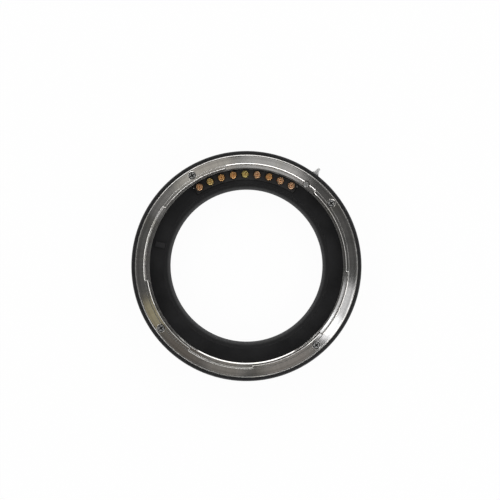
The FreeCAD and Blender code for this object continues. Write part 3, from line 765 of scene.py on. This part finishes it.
# %% Moulding finish
def make_moulding(name, colour, roughness, sheen):
    """Matte plastic: a fine and a coarse grain in the bump, a slow noise in colour and roughness. Where
    the points carry a tone the plastic is paler and has more sheen: painted light near the hole's edge,
    and a paler, glossier rib."""
    material, tree, shader = new_finish(name, metallic=0.0)
    place = object_place(tree)
    fine = noise(tree, place, 7000.0, 2.0)
    coarse = noise(tree, place, 2600.0, 3.0)
    slow = noise(tree, place, 110.0, 3.0)
    # Painted light: the tone makes the cone paler near the hole's edge; it also makes the rib paler.
    wear_and_light = tone_of(tree)
    pale = calc(tree, "ADD", spread(tree, slow, 0.0, 0.3), wear_and_light)
    paler = tuple(3.0 * part for part in colour)
    feed(tree, shader, base_color=ramp(tree, pale, [(0.0, colour), (1.0, paler)]),
         specular_ior_level=remap(tree, wear_and_light, sheen, 0.5),
         roughness=spread(tree, slow, roughness - 0.05, roughness + 0.06))
    bump(tree, shader, calc(tree, "ADD", fine, coarse), 0.00002)
    return material


moulding = make_moulding("matte_moulding", (0.0142, 0.0142, 0.0146), 0.78, 0.015)
holder_moulding = make_moulding("holder_moulding", (0.0215, 0.021, 0.021), 0.7, 0.05)

# %% [markdown]
# ## The light baffle
# The baffle has a flat floor, tucked under the bayonet's lip, and a cone that narrows towards the
# camera. Both are one turned profile. A low rib crosses the floor on the left. Three posts behind carry
# the cover's screws, turned by 3 degrees so that no corner of theirs falls on one of the ring's, which
# would leave stray faces. A window lets the contact holder through, and a notch lets the lock pin pass.
# Near the hole's edge the cone is painted paler and given more sheen, painted light where light comes
# through the hole and off the floor, and the rib is paler and glossier too, so at the end every point
# gets its tone from its place.

# %% Baffle
cone_foot, hole_radius = 1.2, 29.04


# Painted light on the cone near the hole's edge, and a paler rib.
def cone_light_and_rib(points):
    """Tone of points in millimetres: 0.2 on the rib, which stands above 11.95, and near the hole's edge
    0.9 of (1 - h / 6)^1.2 at the height h above the cone's end, as far out as the cone reaches
    there."""
    radius = np.hypot(points[:, 0], points[:, 1])
    rise = points[:, 2] - cone_foot
    on_cone = radius < hole_radius + 0.2065 * rise + 0.15
    edge = 0.9 * np.clip(1 - rise / 6, 0, 1) ** 1.2
    return np.where(points[:, 2] > 11.95, 0.2, np.where(on_cone, edge, 0.0))


baffle_corners = [(31.25, 11.9), (36.85, 11.9), (36.85, 10.9), (32.25, 10.9), (30.04, cone_foot),
                  (hole_radius, cone_foot)]
cone_steps = np.linspace(0.06, 0.94, 24)[:, None]
cone_line = (hole_radius, cone_foot) + cone_steps * np.array([2.21, 10.7])
baffle_profile = np.concatenate([softened(baffle_corners, 0.1, closed=True)[:-1], cone_line])
baffle = make_piece("baffle", [turned(baffle_profile, round_angles(480))], closed_profile=True)
rib = slab(*flat_outline(3.65, 2.05, 0.2, 96), 11.5, 12.3, 0.12)
combine(baffle, [placed(rib, 166.25, 33.425, 0)], "UNION")

post_circle = 33.505
post_angles = [20.0, 160.0, 270.0]
post_profile = [(0, 11.4), (1.4, 11.4), (1.4, 2.2), (0.52, 2.2), (0.52, 4.9), (0, 4.9)]
combine(baffle, turned_at(post_profile, post_circle, post_angles, start=3), "UNION")
combine(baffle, [slab(*sector_outline(32.35, 36.35, 57.23, 124.37, 0.15), 10.5, 12.3, CUT_EDGE)])
combine(baffle, [plain_drill(1.35, 10.5, 12.3, lock_spot)])
set_tone(baffle, cone_light_and_rib)
hand_over(baffle, moulding, "tube", "matte_black_moulding", "light_baffle")

# %% [markdown]
# ## The contact holder
# A curved block carries the nine contacts and stands a little above the baffle's floor. Its foot is
# wider than its face, so the wall of the foot and the wall of the face are stacked into one loft. The
# face is smaller by a hair on its other sides too, so the two walls nowhere meet in one line. Nine
# stepped holes guide the pins.

# %% Contact holder
def stepped_block(lower, upper, low, step, high, edges):
    """Two walls, each over its own ring sector, stacked at a step and softened at the bottom and the
    top."""
    (low_outline, low_spine), (high_outline, high_spine) = sector_outline(*lower), sector_outline(*upper)
    low_wall = side_wall(low_outline, low, step, edges[0], (True, False))
    high_wall = side_wall(high_outline, step, high, edges[1], (False, True))
    return np.concatenate([cap(low_spine, low), low_wall, high_wall, cap(high_spine, high)], axis=1)


contact_circle = 34.5
contact_angles = 60.8 + 7.5 * np.arange(9)
holder_foot = (32.45, 36.96, 57.395, 124.205)
holder_face = (32.46, 36.25, 57.41, 124.19)
holder_grid = stepped_block(holder_foot, holder_face, 6.9, 10.9, 12.3, (0.05, 0.15))
holder = make_piece("contact_holder", [holder_grid])
guide_profile = [(0, 12.9), (1.7, 12.9), (1.4, 12.2), (1.4, 11.6), (1.6, 11.6), (1.6, 6.4), (0, 6.4)]
combine(holder, turned_at(guide_profile, contact_circle, contact_angles))
hand_over(holder, holder_moulding, "tube", "contact_moulding", "front_contact_block")

# %% [markdown]
# ## Gold plating
# The contacts are gold plated. The plating varies from pin to pin, between copper, pale gold and a
# greenish gold: every pin carries its hue as a tone on its points, which needs one material where nine
# would do too, and a noise over the place moves it a little. Fine rings from the lathe follow the
# profile, so they read U from the pin's UV map. So does a darker, browner spot in the middle of the
# dimple, against a slightly brighter crown.

# %% Gold finish
def make_gold():
    """Gold plating: hue from the tone and a noise over the place, rings from a noise over U on the
    profile. Up to U = 0.12, in the dimple, it is darker and browner."""
    material, tree, shader = new_finish("contact_gold", metallic=1.0)
    patches = noise(tree, object_place(tree), 900.0, 3.0)
    hue = calc(tree, "ADD", tone_of(tree), spread(tree, patches, -0.12, 0.12))
    along = add_node(tree, "UVMap", uv_map="turning").outputs["UV"]
    u = add_node(tree, "SeparateXYZ", {"Vector": along}).outputs["X"]
    colour = ramp(tree, hue, [(0.0, (0.58, 0.36, 0.22)), (0.35, (0.56, 0.30, 0.12)),
                              (0.65, (0.54, 0.36, 0.15)), (1.0, (0.50, 0.40, 0.14))])
    # Darker and browner in the dimple, a little brighter on the rest of the crown.
    dimple_spot = ramp(tree, u, [(0.0, (0.62, 0.5, 0.42)), (0.1, (0.62, 0.5, 0.42)), (0.15, (1.12, 1.14, 1.16))])
    feed(tree, shader, base_color=times(tree, colour, dimple_spot), roughness=spread(tree, patches, 0.15, 0.25))
    bump(tree, shader, noise(tree, u, 90.0, 3.0, "1D"), 0.000012)
    return material


gold = make_gold()

# %% [markdown]
# ## Contact pins
# Each contact is a turned brass pin with a rounded shoulder, a dimple in its crown and a collar below
# that keeps it in the holder. Nine copies of one object could share a mesh, but each pin has its own
# hue on its points.

# %% Contact pins
pin_top, dimple_radius, dimple_depth = 13.6, 0.6, 0.15
dimple = np.linspace(0, dimple_radius, 7)[:, None]
dimple_drop = dimple_depth * (1 - (dimple / dimple_radius) ** 2)
dimple_curve = np.concatenate([dimple, pin_top - dimple_drop], axis=1)
pin_corners = [(0.62, pin_top), (1.0, pin_top), (1.3, 13.3), (1.3, 11.6), (1.5, 11.6), (1.5, 10.7),
               (0, 10.7)]
pin_profile = np.concatenate([dimple_curve, softened(pin_corners, 0.07)])
contact_hues = [0.0, 0.1, 0.4, 0.1, 1.0, 0.35, 0.4, 0.8, 0.15]
pin_grids = turned_at(pin_profile, contact_circle, contact_angles, 64)
for number, (pin_grid, hue) in enumerate(zip(pin_grids, contact_hues), 1):
    pin = make_piece(f"gold_contact_{number}", [pin_grid], np.full(pin_grid.shape[:2], hue))
    hand_over(pin, gold, f"contact_{number}", "contact_gold", f"contact_pin_{number}")

# %% [markdown]
# ## Ground steel
# The lens lock and the springs are steel, ground and tumbled. A picture of brushed steel could be
# wrapped round them, but a fine noise, stretched along the axis, gives the same grain without a seam.

# %% Steel finishes
def make_steel(name, colour, low, high):
    """Ground steel: a noise drawn out along Z for the grain, a slow one for the shine."""
    material, tree, shader = new_finish(name, metallic=1.0)
    place = object_place(tree)
    drawn = add_node(tree, "Mapping", {"Vector": place, "Scale": (1, 1, 0.12)}).outputs["Vector"]
    grain = noise(tree, drawn, 5600.0, 3.0)
    duller = tuple(0.8 * part for part in colour)
    tints = [(0.3, duller), (0.65, colour)]
    feed(tree, shader, base_color=ramp(tree, noise(tree, place, 420.0, 3.0), tints),
         roughness=spread(tree, grain, low, high))
    bump(tree, shader, grain, 0.000006)
    return material


pin_steel = make_steel("pin_steel", (0.48, 0.48, 0.47), 0.32, 0.45)
lever_steel = make_steel("lever_steel", (0.82, 0.82, 0.81), 0.42, 0.56)
spring_steel = make_steel("spring_steel", (0.52, 0.51, 0.49), 0.25, 0.4)

# %% [markdown]
# ## The lock plunger
# A sprung steel plunger drops into a recess of the lens and holds it. It is turned, and hollow for its
# spring. A cylinder with a hole cut into it would do, but one profile that goes round the outside and
# back up the inside makes it at once.

# %% Lock plunger
plunger_corners = [(0, 15.4), (0.9, 15.4), (1.15, 15.15), (1.15, 10.5), (1.0, 10.5), (1.0, 9.3), (0.7, 9.3),
                   (0.7, 13.9), (0, 13.9)]
plunger = make_piece("lock_plunger", [turned(softened(plunger_corners, 0.06), round_angles(64), lock_spot)])
hand_over(plunger, pin_steel, "lens_lock", "pin_steel", "lock_pin")

# %% [markdown]
# ## The release lever
# The lever outside the barrel draws the plunger back. It has an eye round the plunger's neck, a flat arm
# and a finger piece with hollow flanks. One outline could hold them all, but the eye is turned and the
# finger piece is thicker, so three simple shapes are joined.

# %% Release lever
def finger_outline():
    """Finger piece in plan, along x from its root: the flank is a straight line from the root's half
    width to the tip's, less a parabola, 4 x 0.2 t (1 - t), and the tip is half a circle. It sits 0.5
    beside the arm."""
    length, root_half, tip_half = 2.15, 1.5, 0.6
    root = np.linspace(0, 1j * root_half, 9)[:-1]
    t = np.linspace(0, 1, 28)
    flank = (length * t + 1j * (root_half - 0.9 * t - 0.8 * t * (1 - t)))[:-1]
    tip = length + tip_half * spun(np.linspace(90, 0, 10))
    upper = np.concatenate([root, flank, tip])
    loop = np.concatenate([upper, np.conj(upper)[-2:0:-1]])
    spine = np.clip(loop.real, 0.9, 2.1) + 0j
    moved = [43.25 - 0.5j + points for points in (loop, spine)]
    return [np.stack([points.real, points.imag], -1) for points in moved]


eye_corners = [(1.02, 9.3), (1.75, 9.3), (1.75, 10.5), (1.02, 10.5)]
eye_grid = turned(softened(eye_corners, 0.06, closed=True), round_angles(72), lock_spot)
lever = make_piece("lever", [eye_grid], closed_profile=True)
arm_outline, arm_spine = flat_outline(4.3, 2.0, 0.05, 120)
arm_middle = np.array([41.35, 0.0])
arm = slab(arm_outline + arm_middle, arm_spine + arm_middle, 9.3, 10.5, 0.08)
finger = slab(*finger_outline(), 8.3, 11.5, 0.16)
for shape in (arm, finger):
    combine(lever, [placed(shape, lock_angle, 0.0, 0.0)], "UNION")
hand_over(lever, lever_steel, "lens_lock", "lever_steel", "release_lever")

# %% [markdown]
# ## The camera bayonet
# The rear bayonet goes into the camera. Its spigot has four lugs that point outwards, so the outline
# helper is used the other way out: the root is the spigot and the tip is the lug, and the bevel is set
# back towards the axis. A raised register face and a relieved corner sit behind it. Four small screws
# hold it from behind.

# %% Camera bayonet ring
spigot, lug_height = 36.91, 2.35
lug_sectors = [(1.4856, 51.9856), (98.4856, 137.9856), (189.4856, 223.4856), (271.9856, 306.7356)]
lug_outline = bayonet_outline(lug_sectors, root=spigot, tip=37.95, corner=0.6, fillet=0.25)
lug_profile = softened([(0.35, 0), (0.22, 0), (0, 0.22), (0, 5)], 0.03)
lug_setback = lug_outline[:, None] - outward_normals(lug_outline)[:, None] * lug_profile[:, 0]
lug_loops = lifted(lug_setback, np.minimum(lug_profile[:, 1], lug_height))

bore_profile = softened([(35.76, 6.3), (35.76, 0.2), (35.96, 0), (36.2, 0)], 0.05)
bore_loops = turned(bore_profile, angles_of(lug_setback[:, 0]))
flange_corners = [(spigot, lug_height), (spigot, 4.6), (38.15, 4.6), (38.15, 4.3), (40.55, 4.3),
                  (40.75, 4.5), (40.75, 6.3)]
flange_loops = turned(softened(flange_corners, 0.05), angles_of(lug_outline))
camera_grid = np.concatenate([bore_loops, lug_loops, flange_loops], axis=1)
camera_bayonet = make_piece("camera_bayonet", [camera_grid], closed_profile=True)
rear_seat = [(0, 3.8), (1.68, 3.8), (1.15, 4.33), (1.15, 5.25), (0.62, 5.25), (0.62, 6.8), (0, 6.8)]
combine(camera_bayonet, turned_at(rear_seat, rear_screw_circle, rear_screw_angles, 64))
hand_over(camera_bayonet, chrome, "tube", "bright_chrome", "rear_bayonet")

# %% [markdown]
# ## The camera bayonet's screws
# The rear bayonet is held by four smaller screws of the same kind, with their heads towards the camera.
# So the same surface is used with other sizes, and turned over.

# %% Screws of the camera bayonet
camera_screw = dict(head=1.1, height=0.8, shank=0.6, length=4.05)
camera_screws = make_screws("camera_bayonet_screws", camera_screw, rear_screw_angles, rear_screw_circle,
                            4.45, from_rear=True)
hand_over(camera_screws, screw_steel, "tube", "screw_steel", "rear_bayonet_screws")

# %% [markdown]
# ## Rear cover
# A thin black ring closes the space between the spigot and the baffle, with three small black screws.
# It is open where the rear contacts come through. A turned profile, a bent slab as the cutter and three
# stepped seats make it.

# %% Rear cover and its screws
cover_corners = [(30.4678, 1.2), (35.46, 1.2), (35.66, 1.4), (35.66, 2.2), (30.4678, 2.2)]
cover_grid = turned(softened(cover_corners, 0.08, closed=True), round_angles(480))
cover = make_piece("back_cover", [cover_grid], closed_profile=True)
combine(cover, [slab(*sector_outline(33.0, 36.9, 57.977, 123.623, 0.15), 0.8, 2.6, CUT_EDGE)])
cover_seat = [(0, 0.8), (1.05, 0.8), (1.05, 1.7), (0.52, 1.7), (0.52, 2.6), (0, 2.6)]
combine(cover, turned_at(cover_seat, post_circle, post_angles, start=3))
hand_over(cover, moulding, "tube", "matte_black_moulding", "rear_cover")
black_screw = make_screw_steel("black_screw", (0.035, 0.035, 0.037), (0.008, 0.008, 0.008))
cover_screw = dict(head=1.0, height=0.5, shank=0.5, length=3.0)
cover_screws = make_screws("back_cover_screws", cover_screw, post_angles, post_circle, 1.2, from_rear=True)
hand_over(cover_screws, black_screw, "tube", "black_screw", "rear_cover_screws")

# %% [markdown]
# ## Rear contacts
# The camera's pins press on nine fixed gold pads. Their holder is stepped over the cover's edge, so two
# walls are stacked again. A pad is a short turned rod with a softened edge, set a little inside the
# holder's face.

# %% Rear contact holder and pads
rear_low = (33.05, 35.66, 58.143, 123.457)
rear_high = (32.45, 35.66, 58.143, 123.457)
rear_holder = make_piece("pad_holder", [stepped_block(rear_low, rear_high, 0.15, 2.2, 6.3, (0.12, 0.05))])
pad_hole = [(0, -0.4), (1.47, -0.4), (0.92, 0.25), (0.92, 6.8), (0, 6.8)]
combine(rear_holder, turned_at(pad_hole, contact_circle, contact_angles))
hand_over(rear_holder, holder_moulding, "tube", "contact_moulding", "rear_contact_block")

pad_profile = softened([(0, 0.35), (0.9, 0.35), (0.9, 6.3), (0, 6.3)], 0.12)
pads = turned_at(pad_profile, contact_circle, contact_angles)
pad_hues = np.repeat(np.linspace(0.5, 0.9, len(pads)), pads[0].shape[0] * pads[0].shape[1])
hand_over(make_piece("gold_pads", pads, pad_hues), gold, "tube", "contact_gold", "rear_contact_pads")

# %% [markdown]
# ## The lock spring
# A coil inside the hollow plunger pushes the lock up: a circle of wire carried along a helix. A curve
# with a bevel would draw it too, but a helper that sweeps a section also serves for the flat springs
# below. The coil keeps a mesh of its own.

# %% Lock spring
def swept(middle, sideways, upwards, section):
    """Section (u, v) carried along a path: M + u S + v W, with the path's middle M and its directions S
    and W. The middle points at both ends close it."""
    u, v = section[:, 0, None, None], section[:, 1, None, None]
    ends = [np.broadcast_to(point, (len(section), 1, 3)) for point in (middle[0], middle[-1])]
    return np.concatenate([ends[0], middle + u * sideways + v * upwards, ends[1]], axis=1)


spring_foot, spring_top = 6.3, 13.9
wire_radius, coil_radius, coil_turns = 0.12, 0.48, 6
coil_turn = np.linspace(0, 360 * coil_turns, 40 * coil_turns + 1)
coil_outward = lifted(spun(coil_turn), 0)
coil_rise = np.linspace(spring_foot + wire_radius, spring_top - wire_radius - 0.01, len(coil_turn))
coil_middle = lifted(coil_radius * spun(coil_turn), coil_rise) + (*lock_spot, 0)
wire = spun(round_angles(14)) * wire_radius
wire_section = np.stack([wire.real, wire.imag], -1)
coil = make_piece("lock_coil", [swept(coil_middle, coil_outward, np.array([0, 0, 1]), wire_section)])
hand_over(coil, spring_steel, "tube", "spring_steel", "lock_spring")
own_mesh(coil)

# %% [markdown]
# ## The contact springs
# A folded leaf of gilded spring bronze under each contact pushes its pin up. It is a flat section
# carried along a bent line, with the same sweep as the coil, and like the coil it keeps a mesh of its
# own.

# %% Contact springs
def make_leaf_gold():
    """Gilded spring leaf: two golds by a noise over the place."""
    material, tree, shader = new_finish("leaf_gold", metallic=1.0, roughness=0.3)
    hue = noise(tree, object_place(tree), 300.0, 3.0)
    feed(tree, shader, base_color=ramp(tree, hue, [(0.35, (0.72, 0.45, 0.18)), (0.65, (0.82, 0.6, 0.28))]))
    return material


def leaf_grid(foot, top):
    """Leaf over (section, path): a foot along x on the board, a fold, and a finger that rises to the
    pin. The path's direction D turns by a quarter into W, the leaf's thickness, and S is the y axis,
    its width."""
    line = softened([(1.1, foot + 0.06), (-1.1, foot + 0.06), (1.05, top - 0.04)], 0.35, steps=9)
    line = line[np.append(True, np.abs(np.diff(line, axis=0)).sum(axis=1) > 1e-6)]
    along = np.gradient(line, axis=0)
    along = along / np.linalg.norm(along, axis=1, keepdims=True)
    level = np.zeros(len(line))
    middle = np.stack([line[:, 0], level, line[:, 1]], -1)
    upwards = np.stack([-along[:, 1], level, along[:, 0]], -1)
    return swept(middle, np.array([0, 1, 0]), upwards, flat_outline(1.2, 0.12, 0.03, 48)[0])


leaf_gold = make_leaf_gold()
leaf_foot, leaf_top, contact_travel = 6.9, 10.7, 1.0
for number, angle in enumerate(contact_angles, 1):
    grid = placed(leaf_grid(leaf_foot, leaf_top), angle, contact_circle, 0)
    leaf = make_piece(f"contact_leaf_{number}", [grid])
    hand_over(leaf, leaf_gold, "tube", "contact_gold", f"contact_spring_{number}")
    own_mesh(leaf)

# %% [markdown]
# ## What stays from the solids
# The springs under the tabs, the stop pin and the circuit board are nearly hidden, and their solids are
# right as they are. They only get finishes: ground steel, and a green board with a faint glass weave
# under its lacquer. The weave is two crossed waves.

# %% Finishes of the hidden solids
def make_board():
    """Board lacquer: green over a weave of two crossed sine waves 0.5 mm apart."""
    material, tree, shader = new_finish("board_lacquer", roughness=0.32, coat_weight=0.3)
    place = object_place(tree)
    inputs = {"Vector": place, "Scale": 620.0}
    waves = [add_node(tree, "TexWave", inputs, bands_direction=way).outputs["Fac"] for way in "XY"]
    weave = calc(tree, "MULTIPLY", *waves)
    greens = [(0.0, (0.006, 0.055, 0.022)), (1.0, (0.012, 0.095, 0.04))]
    feed(tree, shader, base_color=ramp(tree, weave, greens))
    bump(tree, shader, weave, 0.00001)
    return material


def refinish(finish, *names):
    """Puts a finish on CAD nodes that stay as they are."""
    for name in names:
        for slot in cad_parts[name].material_slots:
            slot.material = finish
    print(finish.name, "on", ", ".join(names))


refinish(spring_steel, *[f"seat_spring_{number}" for number in range(1, 5)])
refinish(pin_steel, "rotation_stop_pin")
refinish(make_board(), "contact_board")

# %% [markdown]
# ## Floor
# The photograph's background is plain white. The floor is a wide pale sheet that shows white to the
# camera and in reflections through the Light Path node, and keeps a part of its lit, diffuse look, so
# the tube still throws a soft shadow on it.

# %% Floor
def make_floor():
    """White sheet: diffuse for light, mixed with white emission for camera, glossy and transmission
    rays."""
    material = bpy.data.materials.new("floor_white")
    material.use_nodes = True
    tree = material.node_tree
    tree.nodes.clear()
    path = add_node(tree, "LightPath").outputs
    seen = calc(tree, "MAXIMUM", path["Is Camera Ray"], path["Is Glossy Ray"])
    seen = calc(tree, "MAXIMUM", seen, path["Is Transmission Ray"])
    share = calc(tree, "MULTIPLY", seen, 0.96)
    lit = add_node(tree, "BsdfDiffuse", {"Color": (0.9, 0.9, 0.9, 1)}).outputs["BSDF"]
    white = add_node(tree, "Emission", {"Color": (1, 1, 1, 1), "Strength": 1.0}).outputs["Emission"]
    mixed = add_node(tree, "MixShader", {0: share, 1: lit, 2: white}).outputs["Shader"]
    add_node(tree, "OutputMaterial", {"Surface": mixed})
    return material


half = 3
floor_mesh = bpy.data.meshes.new("floor")
floor_corners = [(-half, -half, 0), (half, -half, 0), (half, half, 0), (-half, half, 0)]
floor_mesh.from_pydata(floor_corners, [], [(0, 1, 2, 3)])
floor = add_object("floor", floor_mesh)
floor_mesh.materials.append(make_floor())
print("floor of", 2 * half, "m by", 2 * half, "m at the standing face")

# %% [markdown]
# ## Sky
# Flat, turned metal seen from straight above mirrors what hangs over it, so the light is planned in
# parts: a sky, soft boxes and strips round the tube, and small cards over it. The sky is dark above,
# where the metal would show it, and pale at the horizon. A panorama could give this, but two numbers
# and a power are enough.

# %% Sky
def make_sky(zenith, horizon):
    """Sky whose strength is zenith + (horizon - zenith) (1 - z)^14 at the height z of the view."""
    world = bpy.data.worlds.new("studio")
    world.use_nodes = True
    tree = world.node_tree
    direction = add_node(tree, "TexCoord").outputs["Generated"]
    height = add_node(tree, "SeparateXYZ", {"Vector": direction}).outputs["Z"]
    low = calc(tree, "POWER", remap(tree, height, 1.0, 0.0), 14.0)
    background = tree.nodes["Background"].inputs
    tree.links.new(remap(tree, low, zenith, horizon), background["Strength"])
    background["Color"].default_value = (1, 1, 1, 1)
    bpy.context.scene.world = world


make_sky(0.085, 1.8)
print("sky", bpy.context.scene.world.name)

# %% [markdown]
# ## Soft boxes and strips
# Eight soft boxes in a circle, well away from the zenith, light everything evenly. Long strips, most of
# them just above the horizon, show in the bevels and draw the thin white lines. Area lights do both:
# their power is worked out from the brightness that a mirror would show, so boxes of different sizes
# can be compared.

# %% Soft boxes and strips
def soft_box(name, place, size, radiance, colour=(1, 1, 1), spin=0.0):
    """Area light aimed at the tube. Its power is pi times its area times the radiance that it shows."""
    light = bpy.data.lights.new(name, "AREA")
    light.shape = "RECTANGLE"
    light.size, light.size_y = size
    light.energy = math.pi * size[0] * size[1] * radiance
    light.color = colour
    lamp = add_object(name, light)
    lamp.location = place
    if spin:
        lamp.rotation_euler = (0, 0, math.radians(spin))
    else:
        lamp.rotation_euler = lamp.location.normalized().to_track_quat("Z", "Y").to_euler()


for number in range(8):
    direction = 45 * number
    level = 2.0 if 45 <= direction <= 135 else 1.55
    soft_box(f"overhead_{number}", (*polar(1.12, direction), 1.0), (0.8, 0.8), level)
strips = [("south_strip", (0.35, -1.6, 0.12), (2.3, 0.22), 4.2),
          ("south_west_strip", (*polar(1.6, 237), 0.12), (0.66, 0.22), 3.6),
          ("north_west_strip", (*polar(1.6, 150), 0.12), (1.3, 0.22), 2.0),
          ("east_strip", (*polar(1.6, 0), 0.12), (1.3, 0.22), 1.3),
          ("north_strip", (0.0, 1.5, 0.5), (1.7, 0.3), 2.3)]
for settings in strips:
    soft_box(*settings)
print("eight overhead boxes and", len(strips), "strips")

# %% [markdown]
# ## Cards near the zenith
# Small, dim cards near the zenith show in the ring's face and make its bright and dark sectors: each
# card's direction is the sector's. The sectors could be painted on the metal, but then they would turn
# with the tube. One larger card further out shows mostly in the outer edge line.

# %% Zenith cards
CARD_HEIGHT = 0.42


def zenith_card(name, start, end, radiance, colour=(1, 1, 1)):
    """Dim card, from 48 to 118 mm off the axis, seen in the ring's face between two angles. The ring
    shows it at 67 mm, moved by two thirds of the camera's own place."""
    middle = (start + end) / 2
    width = 2 * 0.067 * math.tan(math.radians(end - start) / 2)
    spot = polar(0.083, middle) - (0.0009, 0.004)
    soft_box(name, (*spot, CARD_HEIGHT), (0.07, width), radiance, colour, spin=middle)


edge_place = (*polar(0.21, 330), CARD_HEIGHT)
soft_box("card_right_edge", edge_place, (0.18, 0.1), 1.45, (0.95, 0.97, 1.0), spin=330)
cards = [("card_right", 317, 332, 2.1, (0.94, 0.96, 1.0)),
         ("card_right_end", 332, 350, 0.82, (0.95, 0.97, 1.0)),
         ("card_top", 57, 95, 0.5),
         ("card_top_left", 95, 132, 0.46, (1.0, 0.96, 0.88)),
         ("card_upper_left", 132, 152, 0.1),
         ("card_left", 199, 216, 0.32, (1.0, 0.87, 0.5)),
         ("card_low_left", 219, 244, 0.06, (1.0, 0.7, 0.45)),
         ("card_low", 246, 270, 0.19, (1.0, 0.92, 0.85)),
         ("card_low_right", 277, 311, 0.21, (1.0, 0.92, 0.84))]
for settings in cards:
    zenith_card(*settings)
print(len(cards) + 1, "cards")

# %% [markdown]
# ## Camera
# The photograph looks straight down on the lens side from about 0.6 m. The tube's centre lies a little
# off the picture's, so the camera stands a few millimetres to the side, and needs no shift.

# %% Camera
lens = bpy.data.cameras.new("camera")
lens.sensor_width = 36.0
lens.lens = 115.8
camera = add_object("camera", lens)
camera.location = (0.00134, 0.006, 0.6173)
bpy.context.scene.camera = camera
bpy.context.scene.view_settings.view_transform = "Standard"
print("camera at", tuple(round(part, 4) for part in camera.location))

# %% [markdown]
# ## The end
# At the end the scene is brought up to date. The dressed tube has to stay inside the solids' box.

# %% Finish
bpy.context.view_layer.update()
